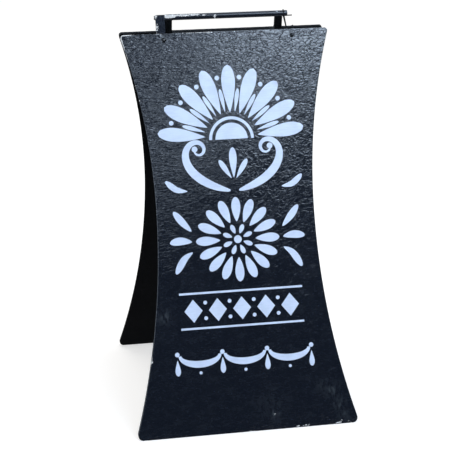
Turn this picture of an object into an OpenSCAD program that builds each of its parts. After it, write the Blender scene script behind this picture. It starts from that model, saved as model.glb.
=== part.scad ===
// Folding a-frame sign: two waisted plywood boards that hang from one handle bar,
// held apart by a pair of folding stays.
// Millimetres, +Z up, front board towards -Y, origin on the ground midway between the feet.

/* [Boards] */
// Length of a board's outer face, up the slope from its foot to its top edge
board_h = 1080; // [900:10:1300]
// Width across the foot
foot_w = 610; // [560:5:700]
// Width across the top edge
top_w = 568; // [520:2:640]
// Width at the waist, the narrowest place
waist_w = 429; // [400:1:480]
// Height of the waist above the foot, up the slope
waist_up = 604; // [500:2:700]
// Thickness of the plywood
board_t = 12; // [9:0.5:18]
// Radius of the two corners at the foot
foot_corner_r = 14; // [4:1:24]
// Radius of the two corners at the top
top_corner_r = 8; // [3:1:16]

/* [Stance] */
// Lean of each board from upright when the sign is open
lean = 16.7; // [12:0.1:20]

/* [Handle] */
// Distance up the slope from a board's top edge to the handle bar's axis
bar_rise = 46; // [42:1:60]
// Diameter of the handle bar
bar_d = 16; // [14:0.5:20]
// How far the bar runs past the right upright
bar_overhang = 13.5; // [12:0.5:22]
// How far the yoke's middle stands to the right of the boards' middle
yoke_mid = 2; // [-4:0.5:4]
// Clear width of the hand gap between the uprights
hand_w = 282; // [240:2:290]
// Width of each upright
upright_w = 20; // [18:1:24]
// Radius where an upright's inner side runs out into the rail
upright_fillet_r = 12; // [4:1:16]
// Depth that the bar is let into the top of each upright
seat_depth = 4; // [2:0.5:5]
// Height of the rail that joins the uprights
rail_h = 54; // [40:2:80]
// How far the rail stays below the board's top edge
rail_drop = 1; // [0.5:0.5:6]

/* [Hinge] */
// Diameter of the pivot screw that the strap's eye turns on
pivot_d = 6; // [5:0.5:7]
// Width of the hinge strap
strap_w = 25; // [20:0.5:28]
// Thickness of the hinge strap
strap_t = 4.4; // [3.8:0.1:5]
// Length of the strap below the board's top edge
strap_len = 62; // [50:1:90]
// Radius of the strap's two lower corners
strap_corner_r = 6; // [3:0.5:8]
// Distance of the strap's lower screw above the strap's end
strap_screw_up = 13; // [9:1:16]
// Length of the pivot screw inside the handle bar
pivot_bite = 10; // [8:0.5:11]
// Diameter of the pivot screw's head
pivot_head_d = 11; // [9:0.5:13]
// Thickness of the pivot screw's head
pivot_head_h = 2.6; // [2:0.1:4]

/* [Face bolts] */
// Thread diameter of the two bolts through the front board
bolt_d = 6; // [5:0.5:6]
// Diameter of the slotted head
bolt_head_d = 13; // [11:0.5:15]
// Height of the domed head
bolt_head_h = 2.6; // [2:0.1:3.5]
// Width of the slot in the head
bolt_slot_w = 1.6; // [1:0.1:2]
// Depth of the slot in the head
bolt_slot_deep = 1.2; // [0.8:0.1:1.4]
// Distance of the bolts below the board's top edge
bolt_drop = 17.5; // [11:0.5:20]
// Distance of the left bolt from the strap's middle, towards the yoke
strap_bolt_in = 5; // [0:0.5:6]
// Thread left past the nut
bolt_past = 2; // [1.4:0.1:2.4]
// Diameter of the washers
washer_d = 12.5; // [12:0.5:14]
// Thickness of the washers
washer_t = 1.2; // [0.8:0.1:1.4]
// Width of the nuts across their flats
nut_af = 10; // [9:0.5:10]
// Height of the nuts
nut_h = 5; // [4:0.1:5]

/* [Tie wire] */
// Diameter of the wire that holds the right side
wire_d = 2.6; // [1.6:0.1:2.6]
// Distance of the right bolt, which the wire is wound on, from the middle
anchor_x = 182; // [180:0.5:190]
// Distance from the right upright to the wire's loop on the bar
wire_off = 2.5; // [2:0.5:5]
// Sideways step of the wire as it goes over the bar
wire_step = 1.5; // [1:0.5:5]
// Height of the wire's loose tail above the board's top edge
wire_tail_up = 10; // [6:1:20]
// Sideways lean of the loose tail away from its bolt
wire_tail_out = 6.5; // [6:0.5:16]
// Sideways distance from the bolt's side to where the wire leaves the board
wire_lip_in = 5.5; // [2:0.5:7]

/* [Keeper nail] */
// Diameter of the nail in the bar's right end
nail_d = 3; // [2:0.1:3]
// Length of the nail left standing out
nail_out = 13; // [8:0.5:20]
// Length of the nail inside the bar
nail_bite = 20; // [10:0.5:22]
// Distance of the nail below the bar's axis
nail_drop = 6; // [3:0.5:6]
// Diameter of the nail's head
nail_head_d = 4.5; // [3.5:0.5:6]
// Thickness of the nail's head
nail_head_h = 1; // [0.8:0.1:2]

/* [Stays] */
// Distance down the slope from the hinge axis to the stays' pivots
stay_drop = 600; // [450:10:650]
// Distance of each pair of stays from the middle
stay_x = 110; // [80:5:150]
// Width of a stay bar
stay_w = 12; // [10:0.5:13]
// Thickness of a stay bar
stay_t = 3; // [2:0.1:4]
// Space between the two bars of a pair, filled at the knee by a spacer
stay_space = 4; // [3.6:0.1:6]
// Diameter of the rivets at the pivots and knees
rivet_d = 5; // [4:0.5:6]
// Diameter of the rivet heads
rivet_head_d = 9; // [8:0.5:10]
// Thickness of the rivet heads
rivet_head_h = 1.2; // [0.8:0.1:1.4]

/* [Stay brackets] */
// Thickness of the angle brackets
bracket_t = 2; // [1.5:0.1:3]
// Width of a bracket's foot on the board
bracket_w = 18; // [16:1:26]
// Length of a bracket's foot on the board
bracket_h = 46; // [38:2:60]
// Distance between a bracket's two screws
bracket_pitch = 28; // [22:1:34]

/* [Screws] */
// Diameter of the wood screws in the brackets and the strap
small_screw_d = 3.5; // [3:0.5:4]
// Head diameter of those screws
small_head_d = 7; // [6:0.5:8]
// Diameter of the wood screws in the rail and the bar
large_screw_d = 4; // [3.5:0.5:5]
// Head diameter of those screws
large_head_d = 8; // [7:0.5:9]
// Distance of the outer rail screws from the yoke's middle
rail_screw_x = 130; // [100:5:140]
// Distance of the inner rail screws from the yoke's middle
rail_screw_in_x = 46; // [30:2:80]
// Distance of a bar screw from its upright's inner side
bar_screw_in = 5; // [4:0.5:6]
// Length of a bar screw inside its upright
bar_screw_bite = 26; // [15:1:32]
// Wood left over the point of a screw
screw_skin = 3; // [2:0.5:5]
// Depth of a bar screw's head below the bar's surface
bar_screw_sink = 0.3; // [0.1:0.1:1]

/* [Clearances] */
// Play of a pivot in its hole, on the radius
pivot_clear = 0.08; // [0.03:0.01:0.1]
// Side play between pieces that turn past each other
side_clear = 0.3; // [0.2:0.05:0.6]
// Play of a bolt in its hole, on the radius
bolt_clear = 0.25; // [0.1:0.05:0.4]
// Space left between the folded boards and what lies between them
fold_clear = 1; // [0.6:0.1:2]
// Play of the wire round the bar and the bolt
wire_clear = 0.3; // [0.2:0.05:0.5]
// Gap between one turn of the wire and the next
wire_gap = 0.45; // [0.4:0.05:0.7]

/* [Hidden] */
$fn = 48;
// Number of straight steps along each half of a board's curved side
SIDE_STEPS = 22;
// Number of straight steps round a board's corner
CORNER_STEPS = 7;
// Sides of the wire's cross-section
WIRE_SIDES = 8;
// Height above the board's top edge where the wire leaves the board's inner face
WIRE_LIP = 3;
// Angle that the wire is bent round the handle bar before it runs down again, and its step
BAR_WRAP = 195;
BAR_STEP = 15;
// Angle of the wire's last turn round the bolt, and the step of both turns there
LAST_WRAP = 280;
BOLT_STEP = 20;
// Radius of the wire's doubled tail at its tip, its splay at its foot and the step of its bend
TAIL_TURN_R = 1.6;
TAIL_SPLAY = 1.2;
TAIL_STEP = 45;
// Overcut of a hole or a slot past the face that it opens in
EPS = 0.5;
// Depth of the drive recess in a countersunk head, the width of its arms, and their span as
// a share of the head
RECESS_DEEP = 1.1;
RECESS_W = 1;
RECESS_SPAN = 0.6;
// Length of a wood screw's point as a multiple of its diameter
POINT_RATIO = 1.4;
// Turn of the slots in the face bolts, as they were left
SLOT_TURN = 35;

BLACK_PAINT = [0.09, 0.10, 0.12];
BLACK_SHADE = [0.06, 0.06, 0.07];
ZINC = [0.62, 0.64, 0.66];
DARK_STEEL = [0.28, 0.28, 0.29];
BLACK_WIRE = [0.15, 0.15, 0.16];

// The hinge axis stands this far in from each board's inner face
axis_off = pivot_d / 2 + pivot_clear + strap_t;
// Depth of a board's outer face out from the plane through the hinge axis
face_off = axis_off + board_t;
// Distance down the slope from the hinge axis to a board's foot
foot_s = bar_rise + board_h;
// Height of the hinge axis above the ground
axis_h = foot_s * cos(lean) - face_off * sin(lean);
// The yoke fills the space between the folded boards
yoke_t = 2 * axis_off - fold_clear;
upright_out = hand_w / 2 + upright_w;
bar_left = yoke_mid - upright_out;
bar_right = yoke_mid + upright_out + bar_overhang;
strap_right = bar_left - side_clear;
strap_mid = strap_right - strap_w / 2;
bolt_x = [strap_mid + strap_bolt_in, anchor_x];
bolt_s = bar_rise + bolt_drop;
bolt_len = board_t + strap_t + washer_t + nut_h + bolt_past;
// The wire's two turns round the right bolt lie one inside the other
wire_stack = 2 * (wire_d + wire_gap);
stay_len = stay_drop * sin(lean);
knee_z = axis_h - stay_drop * cos(lean);
bar_in = stay_space / 2;
bar_out = bar_in + stay_t;
ear_in = bar_out + side_clear;
ear_out = ear_in + bracket_t;
ear_r = axis_off - fold_clear;
small_screw_len = bracket_t + board_t - screw_skin;
strap_screw_len = strap_t + board_t - screw_skin;
rail_screw_len = yoke_t + board_t - screw_skin;
bar_screw_x = hand_w / 2 + bar_screw_in;
// A bar screw's head is let in until its whole rim lies below the bar's round surface
bar_screw_top = sqrt(pow(bar_d / 2, 2) - pow(large_head_d / 2, 2)) - bar_screw_sink;
bar_screw_len = bar_screw_top + bar_d / 2 - seat_depth + bar_screw_bite;

// Places what is drawn in the front board's own frame: the hinge axis is its origin,
// the board hangs down its -Z and its outer face looks along -Y
module on_front() {
    translate([0, 0, axis_h]) rotate([-lean, 0, 0]) children();
}

// The same for the rear board, which leans the other way
module on_rear() {
    mirror([0, 1, 0]) on_front() children();
}

// Copies a left-hand piece over to the right
module to_right() {
    mirror([1, 0, 0]) children();
}

// Half the board's width at a height up the slope: two arcs that meet at the waist
function arc_r(run, gain) = (run * run + gain * gain) / (2 * gain);
foot_gain = (foot_w - waist_w) / 2;
top_gain = (top_w - waist_w) / 2;
foot_arc_r = arc_r(waist_up, foot_gain);
top_arc_r = arc_r(board_h - waist_up, top_gain);
function half_w(up) =
    let (run = up - waist_up, r = run < 0 ? foot_arc_r : top_arc_r)
    waist_w / 2 + r - sqrt(r * r - run * run);

// A rounded corner between the straight end of a board and its curved side, from the side
// round to the end. flare is the side's slope there, and up is 1 at the top and -1 at the foot
function corner(x, y, r, flare, up) =
    let (cx = x - r * (1 + sin(flare)) / cos(flare), cy = y - up * r)
    [for (i = [0 : CORNER_STEPS])
        let (a = up * (-flare + (90 + flare) * i / CORNER_STEPS))
        [cx + r * cos(a), cy + r * sin(a)]];

// The right side of a board's outline, from its foot up to its top edge
function side_points() =
    let (foot_flare = asin(waist_up / foot_arc_r),
         top_flare = asin((board_h - waist_up) / top_arc_r),
         foot_pts = corner(foot_w / 2, 0, foot_corner_r, foot_flare, -1),
         top_pts = corner(top_w / 2, board_h, top_corner_r, top_flare, 1),
         low = foot_pts[0][1],
         high = top_pts[0][1])
    concat(
        [for (i = [CORNER_STEPS : -1 : 0]) foot_pts[i]],
        [for (i = [1 : 2 * SIDE_STEPS - 1])
            let (up = low + (high - low) * i / (2 * SIDE_STEPS)) [half_w(up), up]],
        top_pts);

module board_outline() {
    right = side_points();
    left = [for (i = [len(right) - 1 : -1 : 0]) [-right[i][0], right[i][1]]];
    polygon(concat(right, left));
}

// A bare board, cut off level along the ground
module board_blank() {
    difference() {
        translate([0, -axis_off, -foot_s])
            rotate([90, 0, 0]) linear_extrude(board_t) board_outline();
        translate([0, -face_off, -foot_s]) rotate([lean, 0, 0])
            translate([-foot_w, -board_t, -2 * board_t])
                cube([2 * foot_w, 4 * board_t, 2 * board_t]);
    }
}

// A countersunk wood screw that points along +Z, with the face of its head at z = 0
module screw_body(d, head_d, len) {
    head_h = (head_d - d) / 2;
    point = d * POINT_RATIO;
    cylinder(h = head_h, d1 = head_d, d2 = d);
    translate([0, 0, head_h]) cylinder(h = len - head_h - point, d = d);
    translate([0, 0, len - point]) cylinder(h = point, d1 = d, d2 = 0);
}

module wood_screw(d, head_d, len) {
    span = head_d * RECESS_SPAN;
    difference() {
        screw_body(d, head_d, len);
        for (a = [0, 90])
            rotate([0, 0, a]) translate([-span / 2, -RECESS_W / 2, -EPS])
                cube([span, RECESS_W, RECESS_DEEP + EPS]);
    }
}

// The hole of such a screw, open for deep millimetres above its head
module screw_hole(d, head_d, len, deep = EPS) {
    screw_body(d, head_d, len);
    translate([0, 0, -deep]) cylinder(h = deep, d = head_d);
}

// Turns a piece that points along +Z so that it points out through the board
module outwards() {
    rotate([90, 0, 0]) children();
}

// The bracket's two screw places, in a board's own frame, for one side of the sign
module at_bracket_screws(side) {
    x = -stay_x + side * (ear_out + (bracket_w - bracket_t) / 2);
    for (z = [-1, 1])
        translate([x, bracket_t - axis_off, -stay_drop + z * bracket_pitch / 2]) outwards() children();
}

module at_rail_screws() {
    for (x = [-rail_screw_x, -rail_screw_in_x, rail_screw_in_x, rail_screw_x])
        translate([yoke_mid + x, yoke_t - axis_off, -bar_rise - rail_drop - rail_h / 2])
            outwards() children();
}

module at_strap_screw() {
    translate([strap_mid, strap_t - axis_off, -bar_rise - strap_len + strap_screw_up])
        outwards() children();
}

module at_bar_screws() {
    for (x = [-bar_screw_x, bar_screw_x])
        translate([yoke_mid + x, 0, bar_screw_top]) mirror([0, 0, 1]) children();
}

module at_bolts() {
    for (x = bolt_x)
        translate([x, -axis_off, -bolt_s]) outwards() children();
}

// Drilled holes for both brackets' screws, front board and rear board alike
module bracket_pilots(side) {
    at_bracket_screws(side) screw_hole(small_screw_d, small_head_d, small_screw_len);
    to_right() at_bracket_screws(side) screw_hole(small_screw_d, small_head_d, small_screw_len);
}

module front_board() {
    color(BLACK_PAINT) on_front() difference() {
        board_blank();
        at_bolts() translate([0, 0, -EPS])
            cylinder(h = board_t + 2 * EPS, d = bolt_d + 2 * bolt_clear);
        at_strap_screw() screw_hole(small_screw_d, small_head_d, strap_screw_len);
        bracket_pilots(-1);
    }
}

module rear_board() {
    color(BLACK_SHADE) on_rear() difference() {
        board_blank();
        at_rail_screws() screw_hole(large_screw_d, large_head_d, rail_screw_len);
        bracket_pilots(1);
    }
}

// The yoke's outline about its own middle: a rail with two uprights, and between them the
// hand gap, which is square at the top and rounded out into the rail at the bottom
module yoke_outline(bottom, top) {
    low = -bar_rise - rail_drop;
    r = upright_fillet_r;
    difference() {
        translate([-upright_out, bottom]) square([2 * upright_out, top - bottom]);
        translate([-hand_w / 2, low + r]) square([hand_w, bar_rise + bar_d]);
        translate([-hand_w / 2 + r, low]) square([hand_w - 2 * r, bar_rise]);
        for (x = [-1, 1])
            translate([x * (hand_w / 2 - r), low + r]) circle(r = r);
    }
}

// Rail and uprights, cut from one piece, with a round seat for the bar on each upright
module handle_yoke() {
    top = -bar_d / 2 + seat_depth;
    bottom = -bar_rise - rail_drop - rail_h;
    color(BLACK_SHADE) on_rear() difference() {
        translate([yoke_mid, yoke_t - axis_off, 0]) rotate([90, 0, 0])
            linear_extrude(yoke_t) yoke_outline(bottom, top);
        translate([bar_left - EPS, 0, 0]) rotate([0, 90, 0])
            cylinder(h = 2 * upright_out + 2 * EPS, d = bar_d);
        at_rail_screws() screw_hole(large_screw_d, large_head_d, rail_screw_len);
        at_bar_screws() screw_hole(large_screw_d, large_head_d, bar_screw_len);
    }
}

module yoke_screws() {
    color(ZINC) on_rear() at_rail_screws() wood_screw(large_screw_d, large_head_d, rail_screw_len);
}

module handle_bar() {
    color(BLACK_PAINT) difference() {
        translate([bar_left, 0, axis_h]) rotate([0, 90, 0])
            cylinder(h = bar_right - bar_left, d = bar_d);
        translate([bar_left - EPS, 0, axis_h]) rotate([0, 90, 0])
            cylinder(h = pivot_bite + EPS, d = pivot_d);
        translate([bar_right - nail_bite, 0, axis_h - nail_drop]) rotate([0, 90, 0])
            cylinder(h = nail_bite + EPS, d = nail_d);
        on_rear() at_bar_screws() screw_hole(large_screw_d, large_head_d, bar_screw_len, bar_d / 2);
    }
}

module bar_screws() {
    color(ZINC) on_rear() at_bar_screws() wood_screw(large_screw_d, large_head_d, bar_screw_len);
}

// The shouldered screw that the strap's eye turns on
module pivot_screw() {
    head_x = strap_right - strap_w - side_clear;
    color(DARK_STEEL) translate([0, 0, axis_h]) difference() {
        union() {
            translate([head_x - pivot_head_h, 0, 0]) rotate([0, 90, 0])
                cylinder(h = pivot_head_h, d = pivot_head_d);
            translate([head_x, 0, 0]) rotate([0, 90, 0])
                cylinder(h = bar_left + pivot_bite - head_x, d = pivot_d);
        }
        translate([head_x - pivot_head_h - EPS, -pivot_head_d, -bolt_slot_w / 2])
            cube([bolt_slot_deep + EPS, 2 * pivot_head_d, bolt_slot_w]);
    }
}

module keeper_nail() {
    color(DARK_STEEL) translate([bar_right, 0, axis_h - nail_drop]) rotate([0, 90, 0]) {
        translate([0, 0, -nail_bite]) cylinder(h = nail_bite + nail_out - nail_head_h, d = nail_d);
        translate([0, 0, nail_out - nail_head_h]) cylinder(h = nail_head_h, d = nail_head_d);
    }
}

// Flat strap with a rolled eye: the strip runs up the board's inner face and curls in
// round the pivot screw, so a narrow seam is left where the curl meets the strip again
module hinge_strap() {
    bottom = -bar_rise - strap_len;
    r = strap_corner_r;
    left = strap_right - strap_w;
    bore_r = pivot_d / 2 + pivot_clear;
    color(BLACK_PAINT) on_front() difference() {
        union() {
            translate([strap_mid, strap_t - axis_off, 0]) rotate([90, 0, 0]) linear_extrude(strap_t) {
                translate([-strap_w / 2, bottom + r]) square([strap_w, -bottom - r]);
                translate([-strap_w / 2 + r, bottom]) square([strap_w - 2 * r, r + EPS]);
                for (x = [-1, 1])
                    translate([x * (strap_w / 2 - r), bottom + r]) circle(r = r);
            }
            translate([left, 0, 0]) rotate([0, 90, 0]) cylinder(h = strap_w, r = axis_off);
        }
        translate([left - EPS, 0, 0]) rotate([0, 90, 0]) cylinder(h = strap_w + 2 * EPS, r = bore_r);
        translate([left - EPS, strap_t - axis_off, -axis_off - EPS])
            cube([strap_w + 2 * EPS, side_clear, axis_off + EPS]);
        translate([bolt_x[0], strap_t - axis_off + EPS, -bolt_s]) outwards()
            cylinder(h = strap_t + 2 * EPS, d = bolt_d + 2 * bolt_clear);
        at_strap_screw() screw_hole(small_screw_d, small_head_d, strap_screw_len);
    }
}

module strap_screw() {
    color(ZINC) on_front() at_strap_screw() wood_screw(small_screw_d, small_head_d, strap_screw_len);
}

// A slotted bolt that points along -Z, with its head's underside at z = board_t
module face_bolt() {
    dome_r = arc_r(bolt_head_d / 2, bolt_head_h);
    top = board_t + bolt_head_h;
    translate([0, 0, board_t - bolt_len]) cylinder(h = bolt_len, d = bolt_d);
    difference() {
        translate([0, 0, top - dome_r]) sphere(r = dome_r);
        translate([-dome_r, -dome_r, top - 2 * dome_r - EPS])
            cube([2 * dome_r, 2 * dome_r, 2 * dome_r - bolt_head_h + EPS]);
        rotate([0, 0, SLOT_TURN]) translate([-bolt_head_d, -bolt_slot_w / 2, top - bolt_slot_deep])
            cube([2 * bolt_head_d, bolt_slot_w, bolt_head_h]);
    }
}

module face_bolts() {
    color(BLACK_PAINT) on_front() at_bolts() face_bolt();
}

// What each bolt clamps against the board's inner face: the strap, or the wound wire
function clamped(i) = i == 0 ? strap_t : wire_stack;

module bolt_washers() {
    color(DARK_STEEL) on_front() for (i = [0, 1])
        translate([bolt_x[i], -axis_off + clamped(i) + washer_t, -bolt_s]) outwards() difference() {
            cylinder(h = washer_t, d = washer_d);
            translate([0, 0, -EPS]) cylinder(h = washer_t + 2 * EPS, d = bolt_d + 2 * bolt_clear);
        }
}

module bolt_nuts() {
    nut_d = nut_af / cos(30);
    color(DARK_STEEL) on_front() for (i = [0, 1])
        translate([bolt_x[i], -axis_off + clamped(i) + washer_t + nut_h, -bolt_s]) outwards() difference() {
            cylinder(h = nut_h, d = nut_d, $fn = 6);
            translate([0, 0, -EPS]) cylinder(h = nut_h + 2 * EPS, d = bolt_d);
        }
}

// The wire's route in the front board's own frame: up and down again for its doubled tail,
// round under the bolt, up and over the handle bar, and down to a second turn round the bolt
wire_r = wire_d / 2;
wire_x = yoke_mid + upright_out + wire_off;
bar_turn_r = bar_d / 2 + wire_clear + wire_r;
bolt_turn_r = bolt_d / 2 + wire_clear + wire_r;
outer_y = -axis_off + wire_gap / 2 + wire_r;
inner_y = outer_y + wire_d + wire_gap;
function bolt_turn(a, y) = [anchor_x + bolt_turn_r * cos(a), y, -bolt_s + bolt_turn_r * sin(a)];
function bar_turn(a) = [wire_x + wire_step * a / 180, -bar_turn_r * cos(a), bar_turn_r * sin(a)];
function between(a, b, t) = a + (b - a) * t;
tail_tip = [anchor_x + wire_tail_out, outer_y + wire_r, wire_tail_up - bar_rise];
tail_foot = [tail_tip[0] + TAIL_TURN_R + TAIL_SPLAY, tail_tip[1], -bar_rise - wire_r];
function tail_turn(a) = tail_tip + TAIL_TURN_R * [cos(a), 0, sin(a)];
lip_x = anchor_x - bolt_turn_r - wire_lip_in;
front_lip = [lip_x, outer_y, WIRE_LIP - bar_rise];
back_lip = [lip_x, inner_y, WIRE_LIP - bar_rise];
WIRE_PATH = concat(
    [for (t = [0, 0.5]) between(tail_foot, tail_turn(0), t)],
    [for (a = [0 : TAIL_STEP : 180]) tail_turn(a)],
    [for (t = [0.25, 0.5, 0.75]) between(tail_turn(180), bolt_turn(0, outer_y), t)],
    [for (a = [0 : -BOLT_STEP : -180]) bolt_turn(a, outer_y)],
    [for (t = [0 : 0.3 : 0.9]) between(front_lip, bar_turn(0), t)],
    [for (a = [0 : BAR_STEP : BAR_WRAP]) bar_turn(a)],
    [for (t = [0.3 : 0.3 : 0.9]) between(bar_turn(BAR_WRAP), back_lip, t)],
    [back_lip],
    [for (a = [180 : BOLT_STEP : 180 + LAST_WRAP]) bolt_turn(a, inner_y)]);

// The wire's least gap to itself, taken between points of its route that lie well apart
WIRE_SKIP = 5;
wire_gaps = [for (i = [0 : len(WIRE_PATH) - 1], j = [i + WIRE_SKIP : 1 : len(WIRE_PATH) - 1])
    norm(WIRE_PATH[i] - WIRE_PATH[j]) - wire_d];
echo(wire_least_gap = min(wire_gaps));

function unit(v) = v / norm(v);
function squared_off(v, along) = unit(v - (v * along) * along);

// A tube along a list of points, its rings carried along the route without twisting
module tube_along(path, r, sides) {
    n = len(path);
    dirs = [for (i = [0 : n - 1]) unit(path[min(i + 1, n - 1)] - path[max(i - 1, 0)])];
    ups = [for (i = 0, v = squared_off([0, 1, 0], dirs[0]); i < n;
                i = i + 1, v = squared_off(v, dirs[min(i, n - 1)])) v];
    ring_points = [for (i = [0 : n - 1], k = [0 : sides - 1])
        path[i] + r * (cos(360 * k / sides) * ups[i] + sin(360 * k / sides) * cross(dirs[i], ups[i]))];
    walls = [for (i = [0 : n - 2], k = [0 : sides - 1])
        let (a = i * sides + k, b = i * sides + (k + 1) % sides)
        each [[a, a + sides, b], [b, a + sides, b + sides]]];
    caps = concat(
        [for (k = [1 : sides - 2]) [0, k, k + 1]],
        [for (k = [1 : sides - 2]) [n * sides - sides, n * sides - sides + k + 1, n * sides - sides + k]]);
    polyhedron(ring_points, concat(walls, caps), convexity = 6);
}

module tie_wire() {
    color(BLACK_WIRE) on_front() tube_along(WIRE_PATH, wire_r, WIRE_SIDES);
}

// An angle bracket in a board's own frame: its foot lies on the board's inner face, and its
// ear stands out beside the stay. side is -1 where the ear is left of the pair, and 1 right
module bracket(side) {
    base_x = side < 0 ? -ear_in - bracket_w : ear_in;
    ear_x = side < 0 ? -ear_out : ear_in;
    difference() {
        translate([-stay_x, 0, -stay_drop]) union() {
            translate([base_x, -axis_off, -bracket_h / 2]) cube([bracket_w, bracket_t, bracket_h]);
            translate([ear_x, 0, 0]) rotate([90, 0, 90]) linear_extrude(bracket_t) {
                translate([-axis_off, -ear_r]) square([axis_off, 2 * ear_r]);
                circle(r = ear_r);
            }
        }
        translate([-stay_x - ear_out - EPS, 0, -stay_drop]) rotate([0, 90, 0])
            cylinder(h = 2 * ear_out + 2 * EPS, d = rivet_d);
        at_bracket_screws(side) screw_hole(small_screw_d, small_head_d, small_screw_len);
    }
}

module left_front_bracket() {
    color(ZINC) on_front() bracket(-1);
}

module right_front_bracket() {
    color(ZINC) to_right() on_front() bracket(-1);
}

module left_rear_bracket() {
    color(ZINC) on_rear() bracket(1);
}

module right_rear_bracket() {
    color(ZINC) to_right() on_rear() bracket(1);
}

module bracket_screws(side) {
    at_bracket_screws(side) wood_screw(small_screw_d, small_head_d, small_screw_len);
    to_right() at_bracket_screws(side) wood_screw(small_screw_d, small_head_d, small_screw_len);
}

module front_bracket_screws() {
    color(ZINC) on_front() bracket_screws(-1);
}

module rear_bracket_screws() {
    color(ZINC) on_rear() bracket_screws(1);
}

// A rivet through a bracket's ear and its stay bar, both left of the pair's middle
module pivot_rivet() {
    inner_head = -bar_in + side_clear / 2;
    rotate([0, 90, 0]) {
        translate([0, 0, -ear_out - rivet_head_h]) cylinder(h = rivet_head_h, d = rivet_head_d);
        translate([0, 0, -ear_out]) cylinder(h = ear_out + inner_head, d = rivet_d);
        translate([0, 0, inner_head]) cylinder(h = rivet_head_h, d = rivet_head_d);
    }
}

module front_pivot() {
    color(ZINC) on_front() translate([-stay_x, 0, -stay_drop]) pivot_rivet();
}

module rear_pivot() {
    color(ZINC) on_rear() translate([-stay_x, 0, -stay_drop]) mirror([1, 0, 0]) pivot_rivet();
}

module left_front_pivot() {
    front_pivot();
}

module right_front_pivot() {
    to_right() front_pivot();
}

module left_rear_pivot() {
    rear_pivot();
}

module right_rear_pivot() {
    to_right() rear_pivot();
}

// A stay bar along +Y from its pivot to the knee, its thickness along +X
module stay_bar() {
    rotate([90, 0, 90]) linear_extrude(stay_t) difference() {
        union() {
            translate([0, -stay_w / 2]) square([stay_len, stay_w]);
            for (y = [0, stay_len])
                translate([y, 0]) circle(d = stay_w);
        }
        circle(d = rivet_d + 2 * pivot_clear);
        translate([stay_len, 0]) circle(d = rivet_d);
    }
}

module front_stay() {
    color(ZINC) translate([-stay_x - bar_out, -stay_len, knee_z]) stay_bar();
}

module rear_stay() {
    color(ZINC) mirror([0, 1, 0])
        translate([-stay_x + bar_in, -stay_len, knee_z]) stay_bar();
}

module left_front_stay() {
    front_stay();
}

module right_front_stay() {
    to_right() front_stay();
}

module left_rear_stay() {
    rear_stay();
}

module right_rear_stay() {
    to_right() rear_stay();
}

// The knee's pivot is open: the rivet and its spacer stay with the front bar, the rivet's
// closed end stays with the rear bar, and they meet face to face across the side clearance
module knee_rivet() {
    color(ZINC) translate([-stay_x, 0, knee_z]) rotate([0, 90, 0]) {
        translate([0, 0, -bar_out - rivet_head_h]) cylinder(h = rivet_head_h, d = rivet_head_d);
        translate([0, 0, -bar_out]) cylinder(h = bar_out + bar_in - side_clear, d = rivet_d);
    }
}

module knee_spacer() {
    color(ZINC) translate([-stay_x - bar_in, 0, knee_z]) rotate([0, 90, 0]) difference() {
        cylinder(h = stay_space - side_clear, d = rivet_head_d);
        translate([0, 0, -EPS]) cylinder(h = stay_space + 2 * EPS, d = rivet_d);
    }
}

module knee_cap() {
    color(ZINC) translate([-stay_x + bar_in, 0, knee_z]) rotate([0, 90, 0]) {
        cylinder(h = stay_t, d = rivet_d);
        translate([0, 0, stay_t]) cylinder(h = rivet_head_h, d = rivet_head_d);
    }
}

module left_knee_rivet() {
    knee_rivet();
}

module right_knee_rivet() {
    to_right() knee_rivet();
}

module left_knee_spacer() {
    knee_spacer();
}

module right_knee_spacer() {
    to_right() knee_spacer();
}

module left_knee_cap() {
    knee_cap();
}

module right_knee_cap() {
    to_right() knee_cap();
}

front_board();
rear_board();
handle_yoke();
yoke_screws();
handle_bar();
bar_screws();
pivot_screw();
keeper_nail();
hinge_strap();
strap_screw();
face_bolts();
bolt_washers();
bolt_nuts();
tie_wire();
left_front_bracket();
right_front_bracket();
front_bracket_screws();
left_rear_bracket();
right_rear_bracket();
rear_bracket_screws();
left_front_pivot();
right_front_pivot();
left_rear_pivot();
right_rear_pivot();
left_front_stay();
right_front_stay();
left_rear_stay();
right_rear_stay();
left_knee_rivet();
right_knee_rivet();
left_knee_spacer();
right_knee_spacer();
left_knee_cap();
right_knee_cap();
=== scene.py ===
"""Dresses the folding a-frame sign: its painted boards, handle, hinge, tie wire and stays.

Metres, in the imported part's own frame: +Z up, the front board towards -Y, and the origin on
the ground midway between the two feet.
"""

import logging
import math
from collections.abc import Callable, Iterable, Mapping, Sequence
from dataclasses import dataclass, field
from enum import Enum

import bmesh
import bpy
import numpy as np
from mathutils import Matrix, Vector
from mathutils.geometry import tessellate_polygon
from mathutils.kdtree import KDTree


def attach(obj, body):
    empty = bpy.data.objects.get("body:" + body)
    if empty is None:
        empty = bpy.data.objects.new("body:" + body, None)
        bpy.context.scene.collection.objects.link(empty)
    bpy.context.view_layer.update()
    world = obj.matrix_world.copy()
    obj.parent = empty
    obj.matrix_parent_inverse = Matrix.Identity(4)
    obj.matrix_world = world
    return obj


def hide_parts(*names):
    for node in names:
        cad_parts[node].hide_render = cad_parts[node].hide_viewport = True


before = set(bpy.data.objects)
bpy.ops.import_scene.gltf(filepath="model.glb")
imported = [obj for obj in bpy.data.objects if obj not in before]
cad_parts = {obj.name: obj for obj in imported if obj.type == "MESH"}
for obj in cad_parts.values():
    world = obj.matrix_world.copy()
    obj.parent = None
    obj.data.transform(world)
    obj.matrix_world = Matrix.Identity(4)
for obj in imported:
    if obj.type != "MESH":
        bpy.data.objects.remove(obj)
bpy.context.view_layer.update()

LOG = logging.getLogger("sign")

MM = 0.001
TINY = 1e-9

Point2 = tuple[float, float]
Loop = list[Point2]
Size3 = tuple[float, float, float]
Colour = tuple[float, float, float]
Mesh = bpy.types.Mesh
Material = bpy.types.Material
Node = bpy.types.Node
Object = bpy.types.Object
Socket = bpy.types.NodeSocket


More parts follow.
